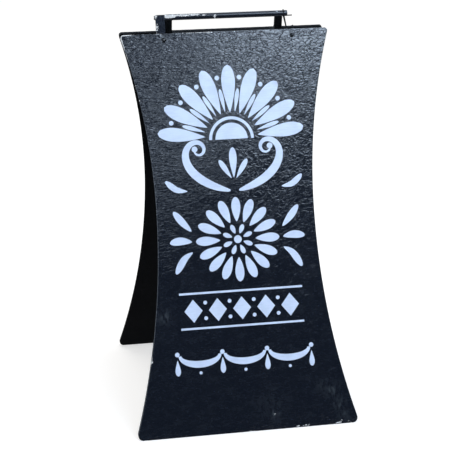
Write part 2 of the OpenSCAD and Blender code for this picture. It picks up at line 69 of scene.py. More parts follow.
class Face(Enum):
    """Which of the two boards, by the way that its painted face looks."""

    FRONT = -1
    REAR = 1


class Coords(Enum):
    """What a finish takes its pattern's place from."""

    OBJECT = "object"
    BOARD = "board_xy"


class Body(Enum):
    """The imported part's moving bodies."""

    FRONT_LEG = "front_leg"
    REAR_LEG = "rear_leg"
    FRONT_STAY_LEFT = "front_stay_left"
    FRONT_STAY_RIGHT = "front_stay_right"
    REAR_STAY_LEFT = "rear_stay_left"
    REAR_STAY_RIGHT = "rear_stay_right"


class Slot(Enum):
    """The record's material slots."""

    BOARD = "board_paint"
    BAR = "bar_paint"
    STRAP = "strap_paint"
    ZINC = "zinc_plate"
    DARK = "dark_steel"
    WIRE = "wire_steel"


# Node trees


class Wiring:
    """Adds nodes to one node tree and joins them up."""

    def __init__(self, tree: bpy.types.NodeTree) -> None:
        """Keeps the shader, world or geometry node tree to add to."""
        self.tree = tree

    def add(
        self, kind: str, inputs: Mapping[int | str, object] | None = None, **settings: object
    ) -> Node:
        """Adds one node.

        Args:
            kind: The node's type name.
            inputs: For each input, by name or place, a value or what to link it to: a socket,
                or a node for its first output.
            settings: The node's own properties.

        Returns:
            The new node.
        """
        node = self.tree.nodes.new(kind)
        for name, value in settings.items():
            setattr(node, name, value)
        for key, value in (inputs or {}).items():
            socket = node.inputs[key]
            if isinstance(value, Node):
                value = value.outputs[0]
            if isinstance(value, Socket):
                self.tree.links.new(value, socket)
            else:
                socket.default_value = value
        return node

    def math(self, operation: str, *values: object) -> Socket:
        """Adds a Math node and returns its value."""
        return self.add("ShaderNodeMath", dict(enumerate(values)), operation=operation).outputs[0]

    def vector_math(self, operation: str, *values: object) -> Socket:
        """Adds a Vector Math node and returns its vector."""
        node = self.add("ShaderNodeVectorMath", dict(enumerate(values)), operation=operation)
        return node.outputs[0]

    def sway(self, noise: object, amount: float, level: object) -> Socket:
        """Moves a level up and down with a noise, which keeps round a half."""
        return self.math("MULTIPLY_ADD", self.math("SUBTRACT", noise, 0.5), amount, level)

    def step(
        self, value: object, low: float, high: float, out_low: float = 0.0, out_high: float = 1.0
    ) -> Socket:
        """Takes a value smoothly from one level to another.

        Args:
            value: The socket that is read.
            low: Where the rise starts; more than high turns it into a fall.
            high: Where the rise ends.
            out_low: The level at low.
            out_high: The level at high.

        Returns:
            The level.
        """
        if low > high:
            low, high, out_low, out_high = high, low, out_high, out_low
        ends = {"From Min": low, "From Max": high, "To Min": out_low, "To Max": out_high}
        node = self.add(
            "ShaderNodeMapRange", {"Value": value, **ends}, interpolation_type="SMOOTHSTEP"
        )
        return node.outputs[0]

    def noise(
        self,
        vector: Socket,
        scale: float = 1.0,
        detail: float = 2.0,
        roughness: float = 0.5,
        distortion: float = 0.0,
        seed: object = 0.0,
    ) -> Socket:
        """Adds a noise.

        Args:
            vector: The place that it is read at.
            scale: How fine it is.
            detail: How many finer noises are added to it.
            roughness: How strong those are.
            distortion: How much it is bent.
            seed: Which of its patterns shows.

        Returns:
            Its level, which keeps round a half.
        """
        inputs = {
            "Vector": vector,
            "W": seed,
            "Scale": scale,
            "Detail": detail,
            "Roughness": roughness,
            "Distortion": distortion,
        }
        return self.add("ShaderNodeTexNoise", inputs, noise_dimensions="4D").outputs[0]

    def mix(self, share: object, first: object, second: object) -> Socket:
        """Mixes two colours and returns the result."""
        node = self.add("ShaderNodeMix", {0: share, 6: first, 7: second}, data_type="RGBA")
        return node.outputs[2]

    def blend(self, share: object, first: object, second: object) -> Socket:
        """Mixes two numbers and returns the result."""
        node = self.add("ShaderNodeMix", {0: share, 2: first, 3: second}, data_type="FLOAT")
        return node.outputs[0]

    def attribute(self, name: str, output: str = "Fac") -> Socket:
        """Reads one of the mesh's own attributes in a shader."""
        return self.add("ShaderNodeAttribute", attribute_name=name).outputs[output]

    def seen(self) -> Socket:
        """Tells the rays that are seen, straight, in gloss or through glass, from the others.

        Returns:
            1 for a ray that is seen, and 0 for one that only lights.
        """
        path = self.add("ShaderNodeLightPath").outputs
        plain = self.math("MAXIMUM", path["Is Camera Ray"], path["Is Glossy Ray"])
        return self.math("MAXIMUM", plain, path["Is Transmission Ray"])


class GeometryTree(Wiring):
    """A Geometry Nodes tree with named inputs, which ends in Realize Instances and Set Material."""

    SOCKETS = {
        float: "NodeSocketFloat",
        int: "NodeSocketInt",
        tuple: "NodeSocketVector",
        Object: "NodeSocketObject",
    }

    def __init__(self, name: str, sizes: Mapping[str, type]) -> None:
        """Makes the tree with its geometry, sizes and material inputs.

        Args:
            name: The tree's name.
            sizes: Each named input and its type.
        """
        super().__init__(bpy.data.node_groups.new(name, "GeometryNodeTree"))
        face = self.tree.interface
        face.new_socket("Geometry", in_out="INPUT", socket_type="NodeSocketGeometry")
        for label, kind in sizes.items():
            face.new_socket(label, in_out="INPUT", socket_type=self.SOCKETS[kind])
        face.new_socket("Material", in_out="INPUT", socket_type="NodeSocketMaterial")
        face.new_socket("Geometry", in_out="OUTPUT", socket_type="NodeSocketGeometry")
        self.inputs = self.add("NodeGroupInput").outputs

    def own(self, name: str, kind: str) -> Socket:
        """Reads one of the mesh's own attributes."""
        node = self.add("GeometryNodeInputNamedAttribute", {"Name": name}, data_type=kind)
        return node.outputs[0]

    def finish(self, geometry: Node) -> "GeometryTree":
        """Ends the tree.

        Args:
            geometry: The node that makes the tree's geometry.

        Returns:
            The tree itself.
        """
        real = self.add("GeometryNodeRealizeInstances", {"Geometry": geometry})
        material = self.inputs["Material"]
        dressed = self.add("GeometryNodeSetMaterial", {"Geometry": real, "Material": material})
        self.add("NodeGroupOutput", {"Geometry": dressed})
        return self

    def run(self, source: Object, material: Material, **sizes: object) -> Object:
        """Runs the tree on an object and puts a plain mesh object in its place.

        Args:
            source: The mesh or curve object that the tree starts from. It is removed.
            material: The finish.
            sizes: The named inputs' values, with _ for a space.

        Returns:
            The new mesh object, with no modifier.
        """
        modifier = source.modifiers.new(self.tree.name, "NODES")
        modifier.node_group = self.tree
        values = {name.replace("_", " "): value for name, value in sizes.items()}
        values["Material"] = material
        for item in self.tree.interface.items_tree:
            if item.in_out == "INPUT" and item.name in values:
                modifier[item.identifier] = values.pop(item.name)
        if values:
            raise KeyError(f"{self.tree.name} has no input named {sorted(values)}")
        source.update_tag()
        bpy.context.view_layer.update()
        graph = bpy.context.evaluated_depsgraph_get()
        mesh = bpy.data.meshes.new_from_object(
            source.evaluated_get(graph), preserve_all_data_layers=True, depsgraph=graph
        )
        name = source.name
        bpy.data.objects.remove(source)
        return new_object(name, mesh, material)


def new_object(name: str, data: bpy.types.ID, material: Material | None = None) -> Object:
    """Links a new object at the origin.

    Args:
        name: Its name.
        data: Its mesh, curve, lamp or camera.
        material: Its one finish, where it has one.

    Returns:
        The object.
    """
    thing = bpy.data.objects.new(name, data)
    data.name = name
    bpy.context.scene.collection.objects.link(thing)
    if material is not None:
        data.materials.clear()
        data.materials.append(material)
    return thing


def mesh_of(
    name: str, points: Iterable[Sequence[float]], faces: Iterable[Sequence[int]]
) -> Mesh:
    """Makes a mesh.

    Args:
        name: Its name.
        points: Its vertices.
        faces: The numbers of each face's vertices.

    Returns:
        The mesh.
    """
    mesh = bpy.data.meshes.new(name)
    mesh.from_pydata([tuple(p) for p in points], [], [tuple(f) for f in faces])
    mesh.update()
    return mesh


def set_values(mesh: Mesh, name: str, values: np.ndarray) -> None:
    """Writes a number or a vector for each vertex into a new attribute of a mesh.

    Args:
        mesh: The mesh.
        name: The attribute's name.
        values: The numbers, or the vectors as rows.
    """
    kind, key = ("FLOAT", "value") if values.ndim == 1 else ("FLOAT_VECTOR", "vector")
    attribute = mesh.attributes.new(name, kind, "POINT")
    attribute.data.foreach_set(key, values.astype(np.float32).ravel())


def coordinates(mesh: Mesh) -> np.ndarray:
    """Reads a mesh's vertices.

    Args:
        mesh: The mesh.

    Returns:
        The vertices as rows.
    """
    flat = np.zeros(len(mesh.vertices) * 3, np.float32)
    mesh.vertices.foreach_get("co", flat)
    return flat.reshape(-1, 3).astype(float)


def tree_of(points: Sequence[Sequence[float]]) -> KDTree:
    """Makes a tree that finds the nearest of some points.

    Args:
        points: The points.

    Returns:
        The tree.
    """
    tree = KDTree(max(1, len(points)))
    for i, point in enumerate(points):
        tree.insert(point, i)
    tree.balance()
    return tree


def hand_over(piece: Object, body: Body, replaced: Sequence[str] = ()) -> None:
    """Gives a finished piece to the frame.

    Args:
        piece: The piece, in place.
        body: The body that it rides on.
        replaced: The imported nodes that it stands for.
    """
    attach(piece, body.value)
    if replaced:
        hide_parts(*replaced)
    LOG.info("%s: %d faces on %s", piece.name, len(piece.data.polygons), body.value)


# Wear


@dataclass(frozen=True)
class WearSpot:
    """A place where paint has come off more than elsewhere."""

    at: Size3
    radius: float
    strength: float


def spot_levels(points: np.ndarray, spots: Sequence[WearSpot]) -> np.ndarray:
    """Works out how much worn places reach each point.

    Args:
        points: The points as rows.
        spots: The places.

    Returns:
        A level for each point, which falls off round each place.
    """
    level = np.zeros(len(points))
    for spot in spots:
        gap = np.linalg.norm(points - np.array(spot.at), axis=1)
        level += spot.strength * np.exp(-((gap / spot.radius) ** 2))
    return level


def wear_levels(
    points: np.ndarray, edge_gap: np.ndarray, spots: Sequence[WearSpot], base: float, reach: float
) -> np.ndarray:
    """How worn each point is by its gap from an arris: base and spots, fading over reach."""
    return (base + spot_levels(points, spots)) * np.exp(-((edge_gap / reach) ** 2))


# Finishes


def empty_material(name: str) -> tuple[Material, Wiring]:
    """Makes a material whose tree is empty.

    Args:
        name: Its name.

    Returns:
        The material, and what adds nodes to it.
    """
    material = bpy.data.materials.new(name)
    material.use_nodes = True
    material.node_tree.nodes.clear()
    return material, Wiring(material.node_tree)


def surface(
    w: Wiring, inputs: Mapping[str, object], height: Socket, relief: float, strength: float = 1.0
) -> None:
    """Adds the surface shader with its bump, and the output.

    Args:
        w: The material's nodes.
        inputs: The shader's colour, roughness and so on.
        height: The bump's height.
        relief: How deep the bump is where its height is 1.
        strength: How strongly the bump shows.
    """
    bump = w.add("ShaderNodeBump", {"Strength": strength, "Distance": relief, "Height": height})
    shader = w.add("ShaderNodeBsdfPrincipled", {**inputs, "Normal": bump})
    w.add("ShaderNodeOutputMaterial", {"Surface": shader})


def scaled(w: Wiring, coords: Coords, size: Size3) -> Socket:
    """Reads a piece's own coordinates.

    Args:
        w: The material's nodes.
        coords: Which coordinates are read.
        size: The unit that they are measured in, axis by axis.

    Returns:
        The place.
    """
    if coords is Coords.BOARD:
        place = w.attribute(coords.value, "Vector")
    else:
        place = w.add("ShaderNodeTexCoord").outputs["Object"]
    return w.vector_math("DIVIDE", place, size)


@dataclass(frozen=True)
class Mottle:
    """A cloudy pattern on a piece.

    Attributes:
        size: How large its clouds are along each axis.
        detail: How many finer patterns are added to it.
        roughness: How strong those are.
        bend: How much it is bent.
        number: What it adds to its finish's seed.
        edge: The two levels between which it comes in.
        shares: The share of it that shows at those levels.
    """

    size: Size3
    detail: float = 2.0
    roughness: float = 0.5
    bend: float = 0.0
    number: float = 0.0
    edge: Point2 = (0.0, 1.0)
    shares: Point2 = (0.0, 1.0)

    def level(self, w: Wiring, coords: Coords, seed: float = 0.0) -> Socket:
        """Draws it and returns its level, which keeps round a half."""
        place = scaled(w, coords, self.size)
        return w.noise(place, 1.0, self.detail, self.roughness, self.bend, seed + self.number)

    def share(self, w: Wiring, coords: Coords, seed: float = 0.0) -> Socket:
        """Draws it and returns the share of it that shows."""
        return w.step(self.level(w, coords, seed), *self.edge, *self.shares)


@dataclass(frozen=True)
class BlackPaint:
    """Black paint brushed on over a pale undercoat, rippled by the brush and chipped."""

    name: str
    coords: Coords = Coords.OBJECT
    black: Colour = (0.0050, 0.0073, 0.0132)
    undercoat: Colour = (0.66, 0.68, 0.69)
    dust: Colour = (0.013, 0.017, 0.025)
    scuffed: Colour = (0.13, 0.16, 0.185)
    fleck: Colour = (0.30, 0.31, 0.33)
    ripple: Size3 = (0.021, 0.0060, 0.0060)
    ripple_height: float = 0.0011
    ripple_level: float = 0.80
    fine_share: float = 0.22
    fine_scale: float = 2.2
    swing: float = 0.0
    swing_reach: float = 0.3
    choppy: Size3 | None = None
    choppy_edge: Point2 = (-0.16, 0.08)
    choppy_fine: float = 0.26
    groove: float = 0.20
    groove_level: float = 0.28
    calm: Point2 | None = None
    calm_level: float = 0.35
    patches: Mottle = Mottle((0.055, 0.04, 0.04), number=2, edge=(0.34, 0.62), shares=(0.55, 1.0))
    roughness: float = 0.12
    matt: Mottle = Mottle((0.07, 0.05, 0.05), 3.0, number=5)
    matt_sway: float = 0.16
    gloss: float = 0.42
    chip: float = 0.0045
    chip_flat: float = 0.62
    chip_sway: float = 1.5
    chip_edge: Point2 = (0.47, 0.54)
    chip_drop: float = 0.35
    bare_roughness: float = 0.72
    haze: Mottle = Mottle((0.03, 0.018, 0.018), 4.0, 0.6, 0.3, 6, (0.45, 0.72), (0.0, 0.5))
    streaks: Mottle = Mottle((0.011, 0.0042, 0.0042), 2.0, 0.6, 0.5, 9, (0.46, 0.68), (0.0, 0.42))
    smears: Mottle = Mottle((0.009, 0.020, 0.020), 4.0, 0.62, 0.5, 7, (0.40, 0.68))
    most_scuff: float = 0.6
    flecks: float = 0.79
    fleck_edge: float = 0.03
    fleck_share: float = 0.55
    fleck_scale: float = 2.6
    seed: float = 1.0

    def make(self) -> Material:
        """Builds the material.

        Returns:
            The material.
        """
        material, w = empty_material(self.name)
        grain = scaled(w, self.coords, (self.chip, self.chip * self.chip_flat, self.chip))
        ragged = w.noise(grain, 1.0, 3.0, 0.6, 0.4, self.seed + 3)
        bare = w.step(w.sway(ragged, self.chip_sway, w.attribute("wear")), *self.chip_edge)
        matt = w.sway(self.matt.level(w, self.coords, self.seed), self.matt_sway, self.roughness)
        inputs = {
            "Base Color": w.mix(bare, self._colour(w, grain), (*self.undercoat, 1)),
            "Roughness": w.blend(bare, matt, self.bare_roughness),
            "Specular IOR Level": self.gloss,
        }
        height = w.math("SUBTRACT", self._ripples(w), w.math("MULTIPLY", bare, self.chip_drop))
        surface(w, inputs, height, self.ripple_height)
        return material

    def _ripples(self, w: Wiring) -> Socket:
        """Draws the heaps that the brush left.

        Args:
            w: The material's nodes.

        Returns:
            Their height, in units of the ripples' height.
        """
        place = w.add("ShaderNodeSeparateXYZ", {0: scaled(w, self.coords, (1, 1, 1))}).outputs
        reach = w.math("ADD", place["X"], self.swing_reach)
        climb = w.math("MULTIPLY", w.math("MULTIPLY", reach, reach), -self.swing)
        bowed = w.add(
            "ShaderNodeCombineXYZ",
            {"X": place["X"], "Y": w.math("ADD", place["Y"], climb), "Z": place["Z"]},
        ).outputs[0]
        heap = self._waves(w, bowed, self.ripple, self.fine_share)
        if self.choppy is not None:
            stipple = self._waves(w, bowed, self.choppy, self.choppy_fine, grooved=True)
            heap = w.math("MULTIPLY", heap, self.ripple_level)
            heap = w.blend(w.step(place["X"], *self.choppy_edge), heap, stipple)
        strength = self.patches.share(w, self.coords, self.seed)
        if self.calm is not None:
            rise = w.step(place["Y"], *self.calm, self.calm_level, 1.0)
            strength = w.math("MULTIPLY", strength, rise)
        return w.math("MULTIPLY", heap, strength)

    def _waves(
        self, w: Wiring, place: Socket, size: Size3, fine: float, grooved: bool = False
    ) -> Socket:
        """Draws creased waves of one size, with a share of finer ones.

        Args:
            w: The material's nodes.
            place: The place on the piece.
            size: The waves' length along each axis.
            fine: The share of the finer waves.
            grooved: Whether the waves are cut flat, which leaves grooves.

        Returns:
            The waves' height.
        """
        waves = w.vector_math("DIVIDE", place, size)
        crease = w.noise(waves, 1.0, 1.5, 0.5, 0.6, self.seed)
        broad = w.math("ABSOLUTE", w.math("MULTIPLY_ADD", crease, 2.0, -1.0))
        if grooved:
            broad = w.step(broad, 0.0, self.groove, 0.0, self.groove_level)
        finer = w.noise(waves, self.fine_scale, 2.0, 0.5, 0.4, self.seed + 1)
        return w.math("MULTIPLY_ADD", finer, fine, broad)

    def _colour(self, w: Wiring, grain: Socket) -> Socket:
        """Draws black with a little dust in the hollows, scuffs and single pale flecks.

        Args:
            w: The material's nodes.
            grain: The place, in units of a chip's size.

        Returns:
            The colour.
        """
        colour = (*self.black, 1)
        for dusty in (self.haze, self.streaks):
            colour = w.mix(dusty.share(w, self.coords, self.seed), colour, (*self.dust, 1))
        smear = self.smears.share(w, self.coords, self.seed)
        scuff = w.math("MULTIPLY", w.attribute("scuff"), smear)
        colour = w.mix(w.math("MINIMUM", scuff, self.most_scuff), colour, (*self.scuffed, 1))
        speck = w.noise(grain, self.fleck_scale, 1.0, seed=self.seed + 8)
        pale = w.step(speck, self.flecks, self.flecks + self.fleck_edge, 0.0, self.fleck_share)
        return w.mix(pale, colour, (*self.fleck, 1))


@dataclass(frozen=True)
class SignWhite:
    """Pale blue-white sign paint, brushed on in one coat over the black."""

    name: str = "sign_white"
    pale: Colour = (0.56, 0.665, 0.86)
    thin: Colour = (0.43, 0.52, 0.69)
    thin_edge: Point2 = (0.66, 0.3)
    thin_share: float = 0.55
    roughness: float = 0.42
    relief: float = 0.00022
    drag: Mottle = Mottle((0.03, 0.0035, 0.0035), 3.0, 0.55, 0.5, 11)
    drag_sway: float = 0.7
    drag_relief: float = 0.35
    cloud: Mottle = Mottle((0.05, 0.05, 0.05), 3.0, number=12)
    waves: Mottle = Mottle((0.0088, 0.0056, 0.0056), 2.5, 0.55, 0.7, 1)

    def make(self) -> Material:
        """Builds the material.

        Returns:
            The material.
        """
        material, w = empty_material(self.name)
        drag, cloud, waves = (
            pattern.level(w, Coords.BOARD) for pattern in (self.drag, self.cloud, self.waves)
        )
        wash = w.sway(drag, self.drag_sway, cloud)
        share = w.step(wash, *self.thin_edge, 0.0, self.thin_share)
        colour = w.mix(share, (*self.pale, 1), (*self.thin, 1))
        height = w.math("MULTIPLY_ADD", drag, self.drag_relief, waves)
        surface(w, {"Base Color": colour, "Roughness": self.roughness}, height, self.relief)
        return material


@dataclass(frozen=True)
class Metal:
    """Bare or plated metal with a mottled skin."""

    name: str
    bright: Colour
    dull: Colour
    roughness: float
    mottle: float = 0.006
    scratch: float = 0.12
    metallic: float = 1.0
    gloss: float = 0.5
    patina: Point2 = (0.42, 0.62)
    dull_share: float = 0.5
    dull_rise: float = 0.16
    relief: float = 0.00004
    relief_strength: float = 0.7
    scratch_relief: float = 0.5
    seed: float = 21.0

    def make(self) -> Material:
        """Builds the material.

        Returns:
            The material.
        """
        material, w = empty_material(self.name)
        size, fine = self.mottle, self.mottle * self.scratch
        skin = Mottle((size, size, size), 4.0, 0.6, 0.4).level(w, Coords.OBJECT, self.seed)
        lines = Mottle((size, fine, fine), bend=0.2, number=1).level(w, Coords.OBJECT, self.seed)
        patina = w.step(skin, *self.patina)
        share = w.math("MULTIPLY", patina, self.dull_share)
        inputs = {
            "Base Color": w.mix(share, (*self.bright, 1), (*self.dull, 1)),
            "Metallic": self.metallic,
            "Roughness": w.math("MULTIPLY_ADD", patina, self.dull_rise, self.roughness),
            "Specular IOR Level": self.gloss,
        }
        height = w.math("MULTIPLY_ADD", lines, self.scratch_relief, skin)
        surface(w, inputs, height, self.relief, self.relief_strength)
        return material


# Boards


def arc_radius(run: float, gain: float) -> float:
    """Radius of an arc that rises by gain over run from its level start."""
    return (run * run + gain * gain) / (2 * gain)


@dataclass(frozen=True)
class BoardShape:
    """One board's outline, and where it stands."""

    face: Face
    height: float = 1.080
    foot_width: float = 0.610
    top_width: float = 0.568
    waist_width: float = 0.429
    waist_up: float = 0.604
    thickness: float = 0.012
    foot_corner: float = 0.014
    top_corner: float = 0.008
    lean: float = math.radians(16.7)
    bar_rise: float = 0.046
    axis_off: float = 0.00748

    @property
    def foot_s(self) -> float:
        """Distance down the slope from the hinge axis to the foot."""
        return self.bar_rise + self.height

    @property
    def face_off(self) -> float:
        """Distance of the painted face from the plane through the hinge axis."""
        return self.axis_off + self.thickness

    @property
    def axis_height(self) -> float:
        """Height of the hinge axis above the ground."""
        return self.foot_s * math.cos(self.lean) - self.face_off * math.sin(self.lean)

    @property
    def outwards(self) -> Vector:
        """The painted face's normal."""
        return Vector((0, self.face.value * math.cos(self.lean), math.sin(self.lean)))

    @property
    def upwards(self) -> Vector:
        """The direction up the slope."""
        return Vector((0, -self.face.value * math.sin(self.lean), math.cos(self.lean)))

    def from_axis(self, x: float, s: float, n: float) -> Vector:
        """A point by its place across, down the slope from the hinge axis and out from it."""
        axis = Vector((0, 0, self.axis_height))
        return axis + Vector((x, 0, 0)) - self.upwards * s + self.outwards * n

    def place(self, x: np.ndarray, up: np.ndarray, lift: np.ndarray) -> np.ndarray:
        """Puts points that are given on the painted face into the part's frame.

        Args:
            x: Place across, to the right of somebody who looks at the face.
            up: Place up the slope from the foot.
            lift: Height above the face.

        Returns:
            The points as rows.
        """
        across = np.array((-float(self.face.value), 0, 0))
        origin = np.array(self.from_axis(0, self.foot_s, self.face_off))
        return (
            origin
            + np.outer(x, across)
            + np.outer(up, np.array(self.upwards))
            + np.outer(lift, np.array(self.outwards))
        )

    def half_width(self, up: float) -> float:
        """Works out half the width, with the rounded corners taken in.

        Args:
            up: The height up the slope.

        Returns:
            The distance from the middle to the edge.
        """
        waist = self.waist_width / 2
        for run, width, corner in (
            (self.waist_up, self.foot_width, self.foot_corner),
            (self.height - self.waist_up, self.top_width, self.top_corner),
        ):
            foot = run == self.waist_up
            end_gap = up if foot else self.height - up
            radius = arc_radius(run, width / 2 - waist)
            flare = math.asin(run / radius)
            if end_gap < corner * (1 + math.sin(flare)):
                middle = width / 2 - corner * (1 + math.sin(flare)) / math.cos(flare)
                return middle + math.sqrt(max(0.0, corner**2 - (end_gap - corner) ** 2))
            if (up <= self.waist_up) == foot:
                away = up - self.waist_up
                return waist + radius - math.sqrt(radius**2 - away**2)
        raise ValueError(f"{up} isn't on the board")

    def outline(self, spacing: float = 0.002) -> np.ndarray:
        """Draws the right half of the outline and both ends.

        Args:
            spacing: About how far apart its points are.

        Returns:
            The points as rows.
        """
        ups = np.linspace(0, self.height, int(self.height / spacing) * 2)
        side = np.array([(self.half_width(u), u) for u in ups])
        ends = [
            np.array([(x, u) for x in np.arange(0, self.half_width(u), spacing)])
            for u in (0.0, self.height)
        ]
        return np.concatenate([side, *ends])


@dataclass(frozen=True)
class BoardWear:
    """Where a board's arrises are worn, its paint is chipped and its face is scuffed."""

    spots: tuple[WearSpot, ...] = ()
    chips: tuple[WearSpot, ...] = ()
    scuffs: tuple[WearSpot, ...] = ()


@dataclass(frozen=True)
class PanelMesh:
    """Builds a board with eased arrises, dense enough for its brushed surface."""

    shape: BoardShape
    easing: float = 0.0010
    edge_steps: tuple[float, ...] = (0.0, 0.12, 0.38, 0.72, 1.1, 2.0, 3.6, 6.0, 9.5)
    row_spacing: float = 0.0052
    columns: int = 84
    edge_wear: float = 0.17
    wear_reach: float = 0.0026
    inner_wear: float = 0.3
    calm_from: float = 0.003
    calm_run: float = 0.009

    def _rows(self) -> np.ndarray:
        """Sets out the mesh's rows, close together towards both ends.

        Returns:
            Their heights up the board.
        """
        steps = np.array(self.edge_steps) * MM
        run = self.shape.height - 2 * steps[-1]
        middle = np.linspace(0, run, int(run / self.row_spacing) + 1)[1:-1] + steps[-1]
        return np.concatenate([steps, middle, self.shape.height - steps[::-1]])

    def _grid(self) -> tuple[np.ndarray, np.ndarray]:
        """Sets out the mesh's points.

        Returns:
            Their places across and up, each as rows and columns.
        """
        steps = np.array(self.edge_steps) * MM
        shares = np.linspace(-1, 1, self.columns)[1:-1]
        xs, ups = [], []
        for up in self._rows():
            half = self.shape.half_width(float(up))
            inner = (half - steps[-1]) * shares
            xs.append(np.concatenate([steps - half, inner, half - steps[::-1]]))
            ups.append(np.full(len(xs[-1]), up))
        return np.array(xs), np.array(ups)

    def _edge_gaps(self, x: np.ndarray, up: np.ndarray) -> np.ndarray:
        """Measures the distance of each point from the outline.

        Args:
            x: The points' places across, as rows and columns.
            up: Their places up.

        Returns:
            The distances, in one row.
        """
        tree = tree_of([(px, pu, 0) for px, pu in self.shape.outline()])
        gap = np.array([tree.find((abs(a), b, 0))[2] for a, b in zip(x.ravel(), up.ravel())])
        half = np.array([self.shape.half_width(float(u)) for u in up[:, 0]])
        end_gap = np.minimum(up, self.shape.height - up)
        on_edge = np.minimum(end_gap, half[:, None] - np.abs(x)).ravel() < TINY
        return np.where(on_edge, 0.0, gap)

    def build(self, name: str, wear: BoardWear) -> Mesh:
        """Makes the board.

        Args:
            name: The mesh's name.
            wear: Where it is worn.

        Returns:
            The mesh, with its board_xy, wear, scuff and calm attributes.
        """
        x, up = self._grid()
        gap = self._edge_gaps(x, up)
        inside = np.clip(self.easing - gap, 0, self.easing)
        drop = self.easing - np.sqrt(self.easing**2 - inside**2)
        depth = np.concatenate([drop, self.shape.thickness - drop])
        xs, ups, gaps = np.tile(x.ravel(), 2), np.tile(up.ravel(), 2), np.tile(gap, 2)
        level_cut = depth * math.tan(self.shape.lean) * (1 - ups / self.shape.height)
        points = self.shape.place(xs, ups + level_cut, -depth)
        mesh = mesh_of(name, points, self._faces(*x.shape))
        worn = wear_levels(points, gaps, wear.spots, self.edge_wear, self.wear_reach)
        worn *= np.where(depth > self.shape.thickness / 2, self.inner_wear, 1.0)
        set_values(mesh, "board_xy", np.stack([xs, ups, depth], axis=1))
        set_values(mesh, "wear", np.maximum(worn, spot_levels(points, wear.chips)))
        set_values(mesh, "scuff", spot_levels(points, wear.scuffs))
        set_values(mesh, "calm", np.clip((gaps - self.calm_from) / self.calm_run, 0, 1))
        mesh.shade_smooth()
        return mesh

    @staticmethod
    def _faces(rows: int, columns: int) -> list[tuple[int, ...]]:
        """Joins the painted face, the inner face and the walls between them.

        Args:
            rows: How many rows of points a face has.
            columns: How many columns.

        Returns:
            The faces, by the numbers of their points.
        """
        back = rows * columns
        faces = []
        for r in range(rows - 1):
            for c in range(columns - 1):
                a = r * columns + c
                quad = (a, a + 1, a + columns + 1, a + columns)
                faces.append(quad)
                faces.append(tuple(back + i for i in reversed(quad)))
        rim = list(range(columns))
        rim += [r * columns + columns - 1 for r in range(1, rows)]
        rim += [(rows - 1) * columns + c for c in range(columns - 2, -1, -1)]
        rim += [r * columns for r in range(rows - 2, 0, -1)]
        for a, b in zip(rim, rim[1:] + rim[:1]):
            faces.append((a, back + a, back + b, b))
        return faces


def coat_relief() -> GeometryTree:
    """Makes the tree that gives a painted surface the low swells of its brushed coats.

    Returns:
        The tree.
    """
    sizes = ("Swell height", "Swell length", "Swell width", "Seed")
    t = GeometryTree("brushed_coats", dict.fromkeys(sizes, float))
    height, length, width, seed = (t.inputs[name] for name in sizes)
    size = t.add("ShaderNodeCombineXYZ", {"X": length, "Y": width, "Z": width})
    pattern = t.vector_math("DIVIDE", t.own("board_xy", "FLOAT_VECTOR"), size)
    noise = t.noise(pattern, distortion=0.3, seed=seed)
    level = t.math("MULTIPLY", t.math("SUBTRACT", noise, 0.5), 2.0)
    level = t.math("MULTIPLY", t.math("MULTIPLY", level, height), t.own("calm", "FLOAT"))
    normal = t.add("GeometryNodeInputNormal")
    offset = t.add("ShaderNodeVectorMath", {0: normal, "Scale": level}, operation="SCALE")
    inputs = {"Geometry": t.inputs["Geometry"], "Offset": offset}
    return t.finish(t.add("GeometryNodeSetPosition", inputs))


# Painted ornament


def straight_line(root: Vector, away: Vector, length: float, spans: int = 28) -> list[Vector]:
    """A straight line from its root, as evenly spaced points."""
    return [root + away * (length * i / spans) for i in range(spans + 1)]


def smooth_path(knots: Sequence[Point2], per_span: int = 10) -> list[Vector]:
    """Draws a smooth line through its knots.

    Args:
        knots: The points that it goes through.
        per_span: Points from one knot to the next.

    Returns:
        The line's points.
    """
    p = [Vector(k) for k in (knots[0], *knots, knots[-1])]
    line = []
    for i in range(1, len(p) - 2):
        for k in range(per_span):
            t = k / per_span
            a = 2 * p[i]
            b = (p[i + 1] - p[i - 1]) * t
            c = (2 * p[i - 1] - 5 * p[i] + 4 * p[i + 1] - p[i + 2]) * t * t
            d = (3 * p[i] - p[i - 1] - 3 * p[i + 1] + p[i + 2]) * t**3
            line.append((a + b + c + d) / 2)
    line.append(p[-2])
    return line


def curled_line(
    start: Point2, heading: float, length: float, bends: Callable[[float], float], count: int
) -> list[Vector]:
    """Draws a line that bends by a rule, as a scroll does.

    Args:
        start: Where it starts.
        heading: Its first direction, in degrees.
        length: How long it is.
        bends: Degrees that it turns for each metre, at each share of its length.
        count: How many steps it has.

    Returns:
        The line's points.
    """
    point, turn = Vector(start), math.radians(heading)
    line = [point.copy()]
    for i in range(count):
        step = length / count
        turn += math.radians(bends((i + 0.5) / count)) * step
        point = point + Vector((math.cos(turn), math.sin(turn))) * step
        line.append(point.copy())
    return line


def brush_stroke(line: Sequence[Vector], width: Callable[[float], float]) -> Loop:
    """Draws the outline of a stroke of changing width.

    Args:
        line: The stroke's middle line.
        width: Its width at each share of its length.

    Returns:
        A closed outline.
    """
    steps = [(b - a).length for a, b in zip(line, line[1:])]
    total, run = sum(steps), 0.0
    left, right = [], []
    for i, point in enumerate(line):
        ahead = (line[min(i + 1, len(line) - 1)] - line[max(i - 1, 0)]).normalized()
        side = Vector((-ahead.y, ahead.x)) * width(run / total) / 2
        left.append(tuple(point + side))
        right.append(tuple(point - side))
        run += steps[i] if i < len(steps) else 0.0
    return right + left[::-1]


def pressed(fat: float, peak: float = 0.66) -> Callable[[float], float]:
    """Width of a pressed brush: pointed at its start, widest at peak and round at its end."""
    power = math.log(0.5) / math.log(peak)
    return lambda t: fat * math.sqrt(max(0.0, math.sin(math.pi * min(1.0, t**power))))


